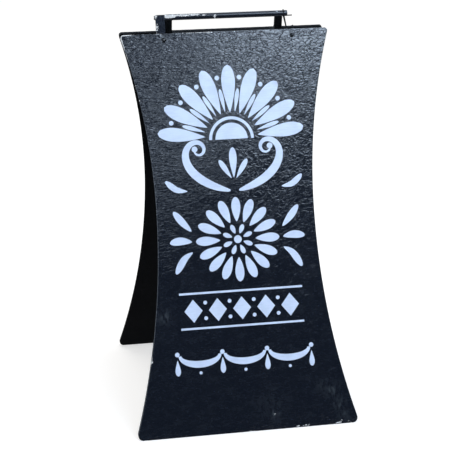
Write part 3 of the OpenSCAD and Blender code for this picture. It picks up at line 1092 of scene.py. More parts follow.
def arc(centre: Point2, radius: float, turns: Iterable[float]) -> Loop:
    """Points of a round line at the given turns, in radians."""
    return [(centre[0] + radius * math.cos(a), centre[1] + radius * math.sin(a)) for a in turns]


def disc(centre: Point2, radius: float, sides: int) -> Loop:
    """A round outline."""
    turn = 2 * math.pi / sides
    return arc(centre, radius, (i * turn for i in range(sides)))


def mirrored(loop: Loop) -> Loop:
    """The same outline on the other side of the middle, wound the same way round."""
    return [(-x, y) for x, y in reversed(loop)]


def filled(loops: Sequence[Loop]) -> list[tuple[int, int, int]]:
    """Fills a level outline with triangles that face up.

    Args:
        loops: The outline, then those of its holes.

    Returns:
        The triangles, by the numbers of the outlines' points.
    """
    flat = [[Vector((x, y, 0)) for x, y in loop] for loop in loops]
    points = [point for loop in flat for point in loop]
    faces = []
    for a, b, c in tessellate_polygon(flat):
        if (points[b] - points[a]).cross(points[c] - points[a]).z < 0:
            b, c = c, b
        faces.append((a, b, c))
    return faces


@dataclass
class PaintFilm:
    """Strokes of thick paint that lie on a board, each a little higher than the last."""

    name: str
    thickness: float = 0.00024
    step: float = 0.00001
    keyed: float = 0.00030
    points: list[Size3] = field(default_factory=list)
    faces: list[tuple[int, ...]] = field(default_factory=list)
    strokes: int = 0

    def add(self, loop: Loop) -> None:
        """Lays down one stroke.

        Args:
            loop: Its outline.
        """
        top = self.thickness + self.step * self.strokes
        flat = [Vector(p) for p in loop]
        first, count = len(self.points), len(loop)
        self.points += [(p.x, p.y, top) for p in flat]
        self.points += [(p.x, p.y, -self.keyed) for p in flat]
        for a, b, c in filled([loop]):
            self.faces.append((first + a, first + b, first + c))
            self.faces.append((first + count + a, first + count + c, first + count + b))
        area = sum(a[0] * b[1] - b[0] * a[1] for a, b in zip(loop, loop[1:] + loop[:1]))
        for i in range(count):
            a, b = first + i, first + (i + 1) % count
            wall = (a, a + count, b + count, b)
            self.faces.append(wall if area > 0 else wall[::-1])
        self.strokes += 1

    def add_pair(self, loop: Loop) -> None:
        """Lays down a stroke and its mirror image."""
        self.add(loop)
        self.add(mirrored(loop))

    def take_in(self, marks: Object) -> None:
        """Adds a flat mesh of repeated marks.

        Args:
            marks: The mesh's object, which is removed.
        """
        first = len(self.points)
        self.points += [tuple(p) for p in coordinates(marks.data)]
        self.faces += [tuple(first + i for i in face.vertices) for face in marks.data.polygons]
        bpy.data.objects.remove(marks)

    def laid_on(self, shape: BoardShape) -> Mesh:
        """Lays the film on a board.

        Args:
            shape: The board.

        Returns:
            The mesh, with its board_xy attribute.
        """
        flat = np.array(self.points)
        mesh = mesh_of(self.name, shape.place(flat[:, 0], flat[:, 1], flat[:, 2]), self.faces)
        set_values(mesh, "board_xy", flat)
        return mesh


def marks_on(t: GeometryTree, offset: Node, turn: Node | None = None) -> GeometryTree:
    """Ends a tree that sets out copies of one mark.

    Args:
        t: The tree, with its inputs Count, Centre and Geometry.
        offset: Each copy's place about the centre.
        turn: Each copy's turn, where it has one.

    Returns:
        The tree.
    """
    place = t.vector_math("ADD", offset, t.inputs["Centre"])
    points = t.add("GeometryNodePoints", {"Count": t.inputs["Count"], "Position": place})
    inputs = {"Points": points, "Instance": t.inputs["Geometry"]}
    if turn is not None:
        inputs["Rotation"] = turn
    return t.finish(t.add("GeometryNodeInstanceOnPoints", inputs))


def ring_of_marks() -> GeometryTree:
    """Makes the tree that sets one mark round an arc, each turned outwards.

    Returns:
        The tree.
    """
    t = GeometryTree(
        "ring_of_marks",
        {"Count": int, "Radius": float, "First angle": float, "Last angle": float, "Centre": tuple},
    )
    spans = t.math("MAXIMUM", t.math("SUBTRACT", t.inputs["Count"], 1.0), 1.0)
    share = t.math("DIVIDE", t.add("GeometryNodeInputIndex"), spans)
    sweep = t.math("SUBTRACT", t.inputs["Last angle"], t.inputs["First angle"])
    angle = t.math("MULTIPLY_ADD", share, sweep, t.inputs["First angle"])
    x = t.math("MULTIPLY", t.math("COSINE", angle), t.inputs["Radius"])
    y = t.math("MULTIPLY", t.math("SINE", angle), t.inputs["Radius"])
    around = t.add("ShaderNodeCombineXYZ", {"X": x, "Y": y})
    euler = t.add("ShaderNodeCombineXYZ", {"Z": t.math("SUBTRACT", angle, math.pi / 2)})
    turn = t.add("FunctionNodeEulerToRotation", {0: euler})
    return marks_on(t, around, turn)


def row_of_marks() -> GeometryTree:
    """Makes the tree that sets one mark along a level row about its centre.

    Returns:
        The tree.
    """
    t = GeometryTree("row_of_marks", {"Count": int, "Spacing": float, "Centre": tuple})
    half = t.math("MULTIPLY", t.math("SUBTRACT", t.inputs["Count"], 1.0), 0.5)
    index = t.add("GeometryNodeInputIndex")
    x = t.math("MULTIPLY", t.math("SUBTRACT", index, half), t.inputs["Spacing"])
    return marks_on(t, t.add("ShaderNodeCombineXYZ", {"X": x}))


@dataclass
class Ornament:
    """A painted face's plain ornament: a fan, scrolls, a rosette, diamonds and swags."""

    film: PaintFilm
    material: Material
    ring: GeometryTree
    row: GeometryTree

    def _repeat(
        self, tree: GeometryTree, loop: Loop, count: int, centre: Point2, **sizes: float
    ) -> None:
        """Takes copies of one mark into the film.

        Args:
            tree: The tree that sets them out.
            loop: The mark's outline about its own origin.
            count: How many there are.
            centre: The middle of their arc or row.
            sizes: The tree's other inputs.
        """
        mark = PaintFilm("mark")
        mark.add(loop)
        source = new_object("mark", mesh_of("mark", mark.points, mark.faces))
        place = (*centre, 0.0)
        self.film.take_in(tree.run(source, self.material, Count=count, Centre=place, **sizes))

    def _ring(self, loop: Loop, count: int, radius: float, centre: Point2, sweep: Point2) -> None:
        """Sets marks round an arc.

        Args:
            loop: The mark's outline, pointing up from its origin.
            count: How many there are.
            radius: Distance of their origins from the centre.
            centre: The arc's centre.
            sweep: The first and last mark's angles, in degrees.
        """
        first, last = (math.radians(angle) for angle in sweep)
        sizes = {"Radius": radius, "First_angle": first, "Last_angle": last}
        self._repeat(self.ring, loop, count, centre, **sizes)

    def _row(self, loop: Loop, count: int, spacing: float, centre: Point2) -> None:
        """Sets marks along a level row."""
        self._repeat(self.row, loop, count, centre, Spacing=spacing)

    @staticmethod
    def _petal(length: float, width: float, peak: float = 0.66) -> Loop:
        """A pressed stroke that points up from its origin."""
        up = straight_line(Vector((0, 0)), Vector((0, 1)), length)
        return brush_stroke(up, pressed(width, peak))

    def fan(self, centre: Point2) -> None:
        """Half a sunburst round a half disc and its band.

        Args:
            centre: The half disc's middle.
        """
        rays, gaps = (7.0, 173.0), (17.4, 162.6)
        self._ring(self._petal(length=0.128, width=0.037), 9, 0.072, centre, rays)
        self._ring(self._petal(length=0.064, width=0.011), 8, 0.074, centre, gaps)
        self._ring(disc((0, 0), 0.0062, 18), 8, 0.168, centre, gaps)
        self.film.add([p for p in disc(centre, 0.044, 60) if p[1] >= centre[1] - TINY])
        turns = [math.radians(a) for a in range(0, 181, 6)]
        self.film.add(arc(centre, 0.061, turns) + arc(centre, 0.053, reversed(turns)))

    def scrolls(self, centre: Point2) -> None:
        """A pair of curled horns that open upwards, with three buds between them.

        Args:
            centre: The middle of the buds' feet.
        """
        x, y = centre
        horn = curled_line((x + 0.012, y - 0.040), 12, 0.292, lambda t: 250 + 5200 * t**3, 80)
        self.film.add_pair(
            brush_stroke(horn, lambda t: 0.0042 + 0.0185 * math.sin(math.pi * t**0.62) ** 1.2)
        )
        self.film.add_pair(disc(tuple(horn[-1]), 0.0078, 24))
        for lean, length, fat in ((0.0, 0.082, 0.0205), (32.0, 0.060, 0.0145)):
            away = Vector((math.sin(math.radians(lean)), math.cos(math.radians(lean))))
            root = Vector((x, y - 0.018)) + away * 0.012
            bud = brush_stroke(straight_line(root, away, length), pressed(fat))
            lay_down = self.film.add_pair if lean else self.film.add
            lay_down(bud)
        leaf = ((x + 0.128, y - 0.036), (x + 0.158, y - 0.030), (x + 0.186, y - 0.006))
        self.film.add_pair(brush_stroke(smooth_path(leaf), pressed(0.0165, 0.60)))

    def rosette(self, centre: Point2) -> None:
        """A round flower of two rings of petals, with leaves at both sides.

        Args:
            centre: Its middle.
        """
        x, y = centre
        outer, inner = (0.0, 360.0 * 15 / 16), (22.5, 22.5 + 360.0 * 7 / 8)
        self._ring(self._petal(0.066, 0.0245, 0.62), 16, 0.048, centre, outer)
        self._ring(self._petal(0.026, 0.0125, 0.60), 8, 0.0165, centre, inner)
        self.film.add(disc(centre, 0.0105, 30))
        leaves = ((0.062, 0.170, 0.019), (0.0, 0.184, 0.021), (-0.062, 0.172, 0.019))
        for rise, reach, fat in leaves:
            knots = (
                (x + 0.124, y + 0.45 * rise),
                (x + 0.5 * (0.124 + reach), y + 0.80 * rise + 0.004),
                (x + reach, y + 1.35 * rise),
            )
            self.film.add_pair(brush_stroke(smooth_path(knots), pressed(fat, 0.58)))

    def diamonds(self, centre: Point2) -> None:
        """A row of diamonds between two fine lines, with dots in the gaps.

        Args:
            centre: Its middle.
        """
        x, y = centre
        half_w, half_h, spacing = 0.0245, 0.031, 0.066
        self._row([(half_w, 0), (0, half_h), (-half_w, 0), (0, -half_h)], 5, spacing, centre)
        for rise in (-0.021, 0.021):
            self._row(disc((0, 0), 0.0052, 18), 4, spacing, (x, y + rise))
        for rise in (0.047, -0.047):
            line = [Vector((x - 0.168 + 0.336 * i / 40, y + rise)) for i in range(41)]
            self.film.add(brush_stroke(line, lambda t: 0.0055))

    def swags(self, centre: Point2) -> None:
        """Three hanging crescents with a drop under each end.

        Args:
            centre: The middle of the drops' row.
        """
        x, y = centre
        reach, sag, spacing = 0.058, 0.034, 0.122
        turns = [math.pi * i / 24 for i in range(25)]
        low = [(-reach * math.cos(a), -sag * math.sin(a)) for a in turns]
        high = [(reach * 0.86 * math.cos(a), -0.46 * sag * math.sin(a)) for a in turns]
        self._row(low + high, 3, spacing, (x, y + 0.012))
        hang = straight_line(Vector((0, 0)), Vector((0, -1)), 0.043, 24)
        self._row(brush_stroke(hang, pressed(0.0145, 0.70)), 4, spacing, (x, y + 0.002))
        self._row(disc((0, 0), 0.0062, 20), 4, spacing, (x, y + 0.0165))
        self._row(disc((0, 0), 0.0042, 16), 3, spacing, (x, y - 0.036))


@dataclass
class Board:
    """One board: the panel itself and the ornament painted on it."""

    shape: BoardShape
    body: Body
    node: str
    paint: Material
    # The inside finish is painted shade: a darker, matt black for the walls and inner face.
    inside: Material
    white: Material
    wear: BoardWear = BoardWear()
    swell_height: float = 0.00011
    swell_length: float = 0.034
    swell_width: float = 0.021
    first_seed: float = 4.0
    # Faces that reach deeper than this take the painted shade.
    shade_depth: float = 0.004

    def build(self, relief: GeometryTree, ring: GeometryTree, row: GeometryTree) -> None:
        """Makes the panel and its paint, and hands both over.

        Args:
            relief: The tree that gives a surface its swells.
            ring: The tree that sets marks round an arc.
            row: The tree that sets marks along a row.
        """
        name = f"{self.node}_panel"
        panel = relief.run(
            new_object(name, PanelMesh(self.shape).build(name, self.wear)),
            self.paint,
            Swell_height=self.swell_height,
            Swell_length=self.swell_length,
            Swell_width=self.swell_width,
            Seed=self.first_seed + self.shape.face.value,
        )
        self._paint_inside_shade(panel.data)
        hand_over(panel, self.body, [self.node])
        film = PaintFilm(f"{self.node}_ornament")
        ornament = Ornament(film, self.white, ring, row)
        if self.shape.face is Face.FRONT:
            ornament.fan((0.0, 0.790))
            ornament.scrolls((0.0, 0.692))
            ornament.rosette((0.0, 0.520))
            ornament.diamonds((0.0, 0.335))
            ornament.swags((0.0, 0.205))
        else:
            ornament.rosette((0.0, 0.600))
        painted = new_object(film.name, film.laid_on(self.shape), self.white)
        hand_over(painted, self.body)

    def _paint_inside_shade(self, mesh: Mesh) -> None:
        """Gives the panel's walls and inner face a darker, matt copy of the black: painted shade.

        Args:
            mesh: The panel.
        """
        mesh.materials.append(self.inside)
        depth = mesh.attributes["board_xy"].data
        for face in mesh.polygons:
            if max(depth[v].vector.z for v in face.vertices) > self.shade_depth:
                face.material_index = 1


# Dressed solids


@dataclass(frozen=True)
class DressedSolid:
    """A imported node's own shape with eased arrises, wear levels and a finish."""

    node: str
    body: Body
    slot: Slot
    easing: float = 0.0003
    grain: float = 0.004
    reach: float = 0.0012
    base_wear: float = 0.25
    spots: tuple[WearSpot, ...] = ()
    sharp: float = math.radians(38)
    weld: float = 0.004 * MM
    level: float = math.radians(0.6)
    mark_gap: float = 0.6 * MM
    rounds: int = 8
    most_faces: int = 60000

    def build(self, material: Material) -> None:
        """Makes the piece and hands it over.

        Args:
            material: Its finish.
        """
        shape = bmesh.new()
        shape.from_mesh(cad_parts[self.node].data)
        bmesh.ops.remove_doubles(shape, verts=shape.verts, dist=self.weld)
        bmesh.ops.dissolve_limit(
            shape, angle_limit=self.level, verts=shape.verts, edges=shape.edges
        )
        arrises = [
            e for e in shape.edges if len(e.link_faces) == 2 and e.calc_face_angle() > self.sharp
        ]
        edge_tree = tree_of(self._marks(arrises))
        bmesh.ops.bevel(
            shape,
            geom=arrises,
            offset=self.easing,
            offset_type="OFFSET",
            segments=2,
            profile=0.5,
            affect="EDGES",
            clamp_overlap=False,
        )
        self._refine(shape)
        name = f"{self.node}_dressed"
        mesh = bpy.data.meshes.new(name)
        shape.to_mesh(mesh)
        shape.free()
        points = coordinates(mesh)
        gaps = np.ones(len(points))
        if arrises:
            gaps = np.array([edge_tree.find(p)[2] for p in points])
        wear = wear_levels(points, gaps, self.spots, self.base_wear, self.reach)
        set_values(mesh, "wear", wear)
        mesh.shade_smooth()
        mesh.set_sharp_from_angle(angle=self.sharp)
        hand_over(new_object(name, mesh, material), self.body, [self.node])

    def _refine(self, shape: bmesh.types.BMesh) -> None:
        """Cuts long edges until none is left.

        Args:
            shape: The mesh, which becomes triangles.
        """
        bmesh.ops.triangulate(shape, faces=shape.faces)
        for _ in range(self.rounds):
            long_edges = [e for e in shape.edges if e.calc_length() > self.grain]
            if not long_edges or len(shape.faces) > self.most_faces:
                break
            bmesh.ops.subdivide_edges(shape, edges=long_edges, cuts=1)
            bmesh.ops.triangulate(shape, faces=[f for f in shape.faces if len(f.verts) > 3])

    def _marks(self, arrises: Sequence[bmesh.types.BMEdge]) -> list[Vector]:
        """Sets marks along the arrises, for measuring distances from them.

        Args:
            arrises: The sharp edges.

        Returns:
            The marks.
        """
        marks = []
        for edge in arrises:
            a, b = (v.co.copy() for v in edge.verts)
            count = max(1, int((b - a).length / self.mark_gap))
            marks += [a.lerp(b, i / count) for i in range(count + 1)]
        return marks


# Wire


def wire_sweep() -> GeometryTree:
    """Makes the tree that draws a round wire along a curve.

    Returns:
        The tree.
    """
    t = GeometryTree("wire_sweep", {"Diameter": float, "Sides": int})
    radius = t.math("MULTIPLY", t.inputs["Diameter"], 0.5)
    profile = t.add(
        "GeometryNodeCurvePrimitiveCircle", {"Resolution": t.inputs["Sides"], "Radius": radius}
    )
    wire = t.add(
        "GeometryNodeCurveToMesh",
        {"Curve": t.inputs["Geometry"], "Profile Curve": profile, "Fill Caps": True},
    )
    return t.finish(t.add("GeometryNodeSetShadeSmooth", {"Geometry": wire}))


@dataclass(frozen=True)
class TieWire:
    """The wire that ties the front board's right side to the handle bar.

    Its route goes up and down again for a doubled tail, round under the bolt, up and over
    the bar, and down to a second turn round the bolt.
    """

    shape: BoardShape
    diameter: float = 0.0026
    gap: float = 0.00045
    clearance: float = 0.00029
    bar_radius: float = 0.008
    bolt_radius: float = 0.003
    anchor_x: float = 0.182
    bolt_s: float = 0.0635
    bar_x: float = 0.1655
    bar_step: float = 0.0015
    bar_wrap: int = 195
    last_wrap: int = 280
    tail_up: float = 0.010
    tail_out: float = 0.0065
    tail_turn: float = 0.0016
    tail_splay: float = 0.0012
    lip: float = 0.003
    lip_in: float = 0.0055
    sides: int = 16

    def _route(self) -> list[Vector]:
        """Sets out the wire's middle line.

        Returns:
            Its points in the board's own frame: across, inwards and up.
        """
        r, rise = self.diameter / 2, self.shape.bar_rise
        bar_r = self.bar_radius + self.clearance + r
        bolt_r = self.bolt_radius + self.clearance + r
        outer = -self.shape.axis_off + self.gap / 2 + r
        inner = outer + self.diameter + self.gap

        def bolt(angle: float, depth: float) -> Vector:
            """A point of a turn round the bolt, by its degrees."""
            x, y = arc((self.anchor_x, -self.bolt_s), bolt_r, [math.radians(angle)])[0]
            return Vector((x, depth, y))

        def bar(angle: float) -> Vector:
            """A point of the turn over the bar, which steps aside as it goes round."""
            x, y = arc((0, 0), bar_r, [math.radians(angle)])[0]
            return Vector((self.bar_x + self.bar_step * angle / 180, -x, y))

        def tail(angle: float) -> Vector:
            """A point of the tail's tight turn."""
            a = math.radians(angle)
            return tip + Vector((math.cos(a), 0, math.sin(a))) * self.tail_turn

        tip = Vector((self.anchor_x + self.tail_out, outer + r, self.tail_up - rise))
        foot = Vector((tip.x + self.tail_turn + self.tail_splay, tip.y, -rise - r))
        lip_x = self.anchor_x - bolt_r - self.lip_in
        front_lip = Vector((lip_x, outer, self.lip - rise))
        back_lip = Vector((lip_x, inner, self.lip - rise))
        route = [foot.lerp(tail(0), t) for t in (0, 0.5)]
        route += [tail(a) for a in range(0, 181, 30)]
        route += [tail(180).lerp(bolt(0, outer), t) for t in (0.25, 0.5, 0.75)]
        route += [bolt(a, outer) for a in range(0, -181, -15)]
        route += [front_lip.lerp(bar(0), t) for t in (0, 0.3, 0.6, 0.9)]
        route += [bar(a) for a in range(0, self.bar_wrap + 1, 15)]
        route += [bar(self.bar_wrap).lerp(back_lip, t) for t in (0.3, 0.6, 0.9, 1.0)]
        route += [bolt(a, inner) for a in range(180, 181 + self.last_wrap, 15)]
        return route

    def build(self, sweep: GeometryTree, material: Material) -> None:
        """Makes the wire and hands it over.

        Args:
            sweep: The tree that draws a wire along a curve.
            material: Its finish.
        """
        curve = bpy.data.curves.new("tie_wire_line", "CURVE")
        curve.dimensions = "3D"
        route = [self.shape.from_axis(p.x, -p.z, -p.y) for p in self._route()]
        spline = curve.splines.new("POLY")
        spline.points.add(len(route) - 1)
        for point, place in zip(spline.points, route):
            point.co = (*place, 1.0)
        source = new_object("tie_wire_drawn", curve)
        wire = sweep.run(source, material, Diameter=self.diameter, Sides=self.sides)
        hand_over(wire, Body.FRONT_LEG, ["tie_wire"])


# Screws


def screws_in_places() -> GeometryTree:
    """Makes the tree that sets one screw at each point, turned as the point says.

    Returns:
        The tree.
    """
    t = GeometryTree("screws_in_places", {"Screw": Object})
    screw = t.add(
        "GeometryNodeObjectInfo", {"Object": t.inputs["Screw"]}, transform_space="ORIGINAL"
    )
    rotation = t.add("FunctionNodeEulerToRotation", {0: t.own("turn", "FLOAT_VECTOR")})
    placed = t.add(
        "GeometryNodeInstanceOnPoints",
        {
            "Points": t.inputs["Geometry"],
            "Instance": screw.outputs["Geometry"],
            "Rotation": rotation,
        },
    )
    return t.finish(placed)


@dataclass(frozen=True)
class WoodScrew:
    """A countersunk wood screw with a cross recess, pointing down -Z from its head's face."""

    diameter: float
    head: float
    length: float
    bevel: float = 0.12 * MM
    rim: float = 0.30 * MM
    neck: float = 1.5 * MM
    pitch: float = 0.45
    thread_deep: float = 0.00035
    root: Point2 = (0.3, 0.7)
    point: float = 1.4
    tip: float = 0.1 * MM
    recess_deep: float = 0.0011
    recess_width: float = 0.0010
    recess_span: float = 0.6
    recess_taper: float = 0.55
    sides: int = 40
    crease: float = math.radians(30)

    def _profile(self) -> list[Point2]:
        """Sets out the turned outline from the head's face down to the point.

        Returns:
            The radius and the height of each of its corners.
        """
        rim, shank = self.head / 2, self.diameter / 2
        cone, pitch = (self.head - self.diameter) / 2, self.pitch * self.diameter
        z, point_start = -cone - self.neck, -self.length + self.point * self.diameter
        profile = [(rim - self.bevel, 0.0), (rim, -self.bevel), (rim, -self.rim)]
        profile += [(shank, -cone), (shank, z)]
        while z - pitch > point_start:
            profile += [(shank - self.thread_deep, z - self.root[0] * pitch)]
            profile += [(shank, z - self.root[1] * pitch)]
            z -= pitch
        return [*profile, (shank, point_start), (self.tip, -self.length)]

    def _cross(self, scale: float) -> Loop:
        """Sets out the recess's outline, anticlockwise.

        Args:
            scale: Its size, as a share of its mouth's.

        Returns:
            The outline.
        """
        far = self.head * self.recess_span / 2 * scale
        near = self.recess_width / 2 * scale
        loop = []
        for turn in range(4):
            for x, y in ((far, -near), (far, near), (near, near)):
                for _ in range(turn):
                    x, y = -y, x
                loop.append((x, y))
        return loop

    def mesh(self, name: str) -> Mesh:
        """Makes the screw: its recess, its cone and its threaded shank.

        Args:
            name: The mesh's name.

        Returns:
            The mesh.
        """
        profile, sides = self._profile(), self.sides
        turns = [2 * math.pi * k / sides for k in range(sides)]
        points = [(*p, height) for radius, height in profile for p in arc((0, 0), radius, turns)]
        faces = []
        for i in range(len(profile) - 1):
            for k in range(sides):
                a, b = i * sides + k, i * sides + (k + 1) % sides
                faces.append((a, a + sides, b + sides, b))
        last = (len(profile) - 1) * sides
        faces.append(tuple(last + k for k in reversed(range(sides))))
        mouth, first = self._cross(1.0), len(points)
        count = len(mouth)
        points += [(x, y, 0.0) for x, y in mouth]
        points += [(x, y, -self.recess_deep) for x, y in self._cross(self.recess_taper)]
        index = [*range(sides), *range(first, first + count)]
        rim = [point[:2] for point in points[:sides]]
        faces += [tuple(index[i] for i in face) for face in filled([rim, mouth])]
        for k in range(count):
            a, b = first + k, first + (k + 1) % count
            faces.append((a, b, b + count, a + count))
        faces.append(tuple(first + count + k for k in range(count)))
        mesh = mesh_of(name, points, faces)
        mesh.shade_smooth()
        mesh.set_sharp_from_angle(angle=self.crease)
        return mesh


@dataclass(frozen=True)
class ScrewSet:
    """Screws of one kind on one body."""

    node: str
    body: Body
    screw: WoodScrew
    places: tuple[Vector, ...]
    head_faces: Vector
    first_spin: float = 23.0
    spin_step: float = 37.0

    def build(self, tree: GeometryTree, material: Material) -> None:
        """Makes the screws as one piece and hands them over.

        Args:
            tree: The tree that sets one screw at each point.
            material: Their finish.
        """
        name = f"{self.node}_cut"
        pattern = new_object(f"{name}_pattern", self.screw.mesh(f"{name}_pattern"))
        points = mesh_of(name, self.places, [])
        base = self.head_faces.to_track_quat("Z", "Y").to_matrix()
        turns = []
        for i in range(len(self.places)):
            angle = math.radians(self.first_spin + self.spin_step * i)
            turns.append(tuple((base @ Matrix.Rotation(angle, 3, "Z")).to_euler()))
        set_values(points, "turn", np.array(turns))
        piece = tree.run(new_object(name, points), material, Screw=pattern)
        bpy.data.objects.remove(pattern)
        hand_over(piece, self.body, [self.node])


# Studio


@dataclass(frozen=True)
class SoftLamp:
    """One soft lamp: where it hangs, what it points at, its size, power and colour."""

    name: str
    eye: Size3
    at: Size3
    size: Point2
    power: float
    tint: Colour

    def hang(self) -> None:
        """Hangs the lamp, out of sight of the camera and of gloss."""
        data = bpy.data.lights.new(self.name, "AREA")
        data.shape = "RECTANGLE"
        data.size, data.size_y = self.size
        data.energy = self.power
        data.color = self.tint
        lamp = new_object(self.name, data)
        eye = Vector(self.eye)
        turn = (Vector(self.at) - eye).to_track_quat("-Z", "Y").to_matrix().to_4x4()
        lamp.matrix_world = Matrix.Translation(eye) @ turn
        lamp.visible_camera = False
        lamp.visible_glossy = False


@dataclass(frozen=True)
class Studio:
    """A pale floor, soft light and the photograph's point of view."""

    eye: Size3 = (-0.50124, -3.22978, 1.47658)
    yaw: float = math.radians(8.74)
    pitch: float = math.radians(16.95)
    roll: float = math.radians(-1.05)
    lens: float = 96.0
    film: float = 36.0
    far: float = 200.0
    floor_reach: float = 60.0
    floor_colour: Colour = (0.78, 0.78, 0.78)
    floor_lift: float = 0.50
    surround_light: float = 0.66
    surround_tint: Colour = (1, 0.99, 0.97)
    curtain_radius: float = 8.0
    curtain_height: float = 12.0
    curtain_sides: int = 72
    skirt_radius: float = 0.72
    skirt_up: float = 0.002
    sky_rise: Point2 = (3.18, 4.08)
    sky_tilt: float = 0.36
    sky_light: float = 8.3
    high_from: Point2 = (4.0, 4.5)
    high_across: Point2 = (0.4, 2.7)
    high_levels: Point2 = (0.0, 2.6)
    behind: Point2 = (-3.0, 2.0)
    behind_level: float = 0.40
    street_light: float = 0.045
    sky_tint: Colour = (0.68, 0.82, 1.0)
    lamps: tuple[SoftLamp, ...] = (
        SoftLamp("sky_box", (3.2, -6.0, 4.3), (0, 0, 0.8), (5.4, 1.7), 300.0, (0.66, 0.80, 1.0)),
        SoftLamp("rear_box", (-1.2, 3.6, 3.2), (0, 0, 0.6), (3.0, 1.8), 40.0, (1.0, 0.98, 0.96)),
    )

    def camera(self) -> None:
        """Sets the camera where the photograph was taken from."""
        look = Vector(
            (
                math.sin(self.yaw) * math.cos(self.pitch),
                math.cos(self.yaw) * math.cos(self.pitch),
                -math.sin(self.pitch),
            )
        )
        level = Vector((math.cos(self.yaw), -math.sin(self.yaw), 0))
        above = level.cross(look)
        right = level * math.cos(self.roll) + above * math.sin(self.roll)
        up = above * math.cos(self.roll) - level * math.sin(self.roll)
        data = bpy.data.cameras.new("camera")
        data.lens = self.lens
        data.sensor_width = self.film
        data.clip_end = self.far
        camera = new_object("camera", data)
        turn = Matrix((right, up, -look)).transposed().to_4x4()
        camera.matrix_world = Matrix.Translation(self.eye) @ turn
        bpy.context.scene.camera = camera

    def floor(self) -> None:
        """Lays the pale floor, which shows white wherever the sign doesn't shade it."""
        r = self.floor_reach
        mesh = mesh_of("floor", [(-r, -r, 0), (r, -r, 0), (r, r, 0), (-r, r, 0)], [(0, 1, 2, 3)])
        material, w = empty_material("pale_floor")
        plain = w.add("ShaderNodeBsdfDiffuse", {"Color": (*self.floor_colour, 1)})
        strength = w.math("MULTIPLY", w.seen(), self.floor_lift)
        lift = w.add("ShaderNodeEmission", {"Strength": strength})
        both = w.add("ShaderNodeAddShader", {0: plain, 1: lift})
        w.add("ShaderNodeOutputMaterial", {"Surface": both})
        new_object("floor", mesh, material)

    def surround(self) -> None:
        """Makes the plain white surround, which lights the sign a little less than it shows."""
        world = bpy.data.worlds.new("surround")
        bpy.context.scene.world = world
        world.use_nodes = True
        world.node_tree.nodes.clear()
        w = Wiring(world.node_tree)
        tint = {"Color": (*self.surround_tint, 1), "Strength": self.surround_light}
        light = w.add("ShaderNodeBackground", tint)
        white = w.add("ShaderNodeBackground", {"Color": (1, 1, 1, 1), "Strength": 1.0})
        both = w.add("ShaderNodeMixShader", {0: w.seen(), 1: light, 2: white})
        w.add("ShaderNodeOutputWorld", {"Surface": both})

    def curtain(self) -> None:
        """Hangs the curtain that glossy paint shows in front: dark, with a pale sky over it."""
        sides = self.curtain_sides
        turns = [-math.pi + 2 * math.pi * i / sides for i in range(sides + 1)]
        rings = (
            (self.skirt_radius, self.skirt_up),
            (self.curtain_radius, self.skirt_up),
            (self.curtain_radius, self.curtain_height),
        )
        points = [(r * math.sin(a), -r * math.cos(a), z) for r, z in rings for a in turns]
        step = sides + 1
        faces = [
            (i + k, i + k + 1, i + k + 1 + step, i + k + step)
            for k in (0, step)
            for i in range(sides)
        ]
        material, w = empty_material("dark_curtain")
        place = w.add("ShaderNodeTexCoord").outputs["Object"]
        axes = w.add("ShaderNodeSeparateXYZ", {0: place}).outputs
        height = w.math("SUBTRACT", axes["Z"], w.math("MULTIPLY", axes["X"], self.sky_tilt))
        sky = w.step(height, *self.sky_rise, 0.0, self.sky_light)
        across = w.step(axes["X"], *self.high_across, *self.high_levels)
        share = w.blend(w.step(axes["Z"], *self.high_from), 1.0, across)
        share = w.blend(w.step(axes["Y"], *self.behind), share, self.behind_level)
        level = w.math("ADD", w.math("MULTIPLY", sky, share), self.street_light)
        glow = w.add("ShaderNodeEmission", {"Color": (*self.sky_tint, 1), "Strength": level})
        w.add("ShaderNodeOutputMaterial", {"Surface": glow})
        cloth = new_object("dark_curtain", mesh_of("dark_curtain", points, faces), material)
        cloth.visible_camera = False
        cloth.visible_diffuse = False
        cloth.visible_shadow = False
        cloth.visible_transmission = False

    def build(self) -> None:
        """Sets up the camera, the floor and the light."""
        self.camera()
        self.floor()
        self.surround()
        self.curtain()
        for lamp in self.lamps:
            lamp.hang()
        LOG.info("studio: camera, floor, surround and %d lamps", len(self.lamps))


# The sign


# Where the front board is worn: across, down from its top or up from its foot, the place's
# radius, and how strong the wear is.
TOP_WEAR = (
    (-0.281, 0.0, 0.020, 0.75),
    (-0.262, 0.0, 0.018, 0.60),
    (-0.276, 0.028, 0.016, 0.50),
    (-0.184, 0.0, 0.020, 0.34),
    (-0.090, 0.0, 0.040, 0.40),
    (-0.045, 0.0, 0.022, 0.42),
    (0.030, 0.0, 0.016, 0.36),
    (0.252, 0.0, 0.030, 0.22),
)
SIDE_WEAR = (
    (0.008, 0.0, 0.014, 0.50),
    (0.200, 0.0, 0.060, 0.26),
    (-0.268, 1.020, 0.012, 0.40),
    (-0.243, 0.945, 0.010, 0.55),
    (-0.235, 0.905, 0.008, 0.55),
    (-0.250, 0.208, 0.014, 0.50),
    (-0.285, 0.002, 0.014, 0.40),
)
SCUFFS = (
    (0.232, 0.095, 0.020, 0.24),
    (0.252, 0.055, 0.016, 0.22),
    (0.262, 0.020, 0.014, 0.20),
    (0.205, 0.115, 0.014, 0.12),
    (0.072, 0.043, 0.009, 0.50),
    (0.060, 0.060, 0.034, 0.08),
    (-0.215, 0.325, 0.018, 0.28),
)

# Its chips: across, and up from its foot.
CHIPS = (
    *((0.1300, 0.0040), (0.1345, 0.0042), (0.1500, 0.0044), (0.1545, 0.0048), (0.1610, 0.0042)),
    *((0.2360, 0.0038), (0.2450, 0.0040), (0.2510, 0.0042), (0.2560, 0.0070), (0.2570, 0.0110)),
    *((0.2690, 0.0040), (0.2760, 0.0046), (0.2830, 0.0040), (0.0700, 0.0421), (0.0732, 0.0428)),
    *((-0.1753, 1.0692), (-0.2800, 1.0600), (-0.2505, 0.2080)),
)

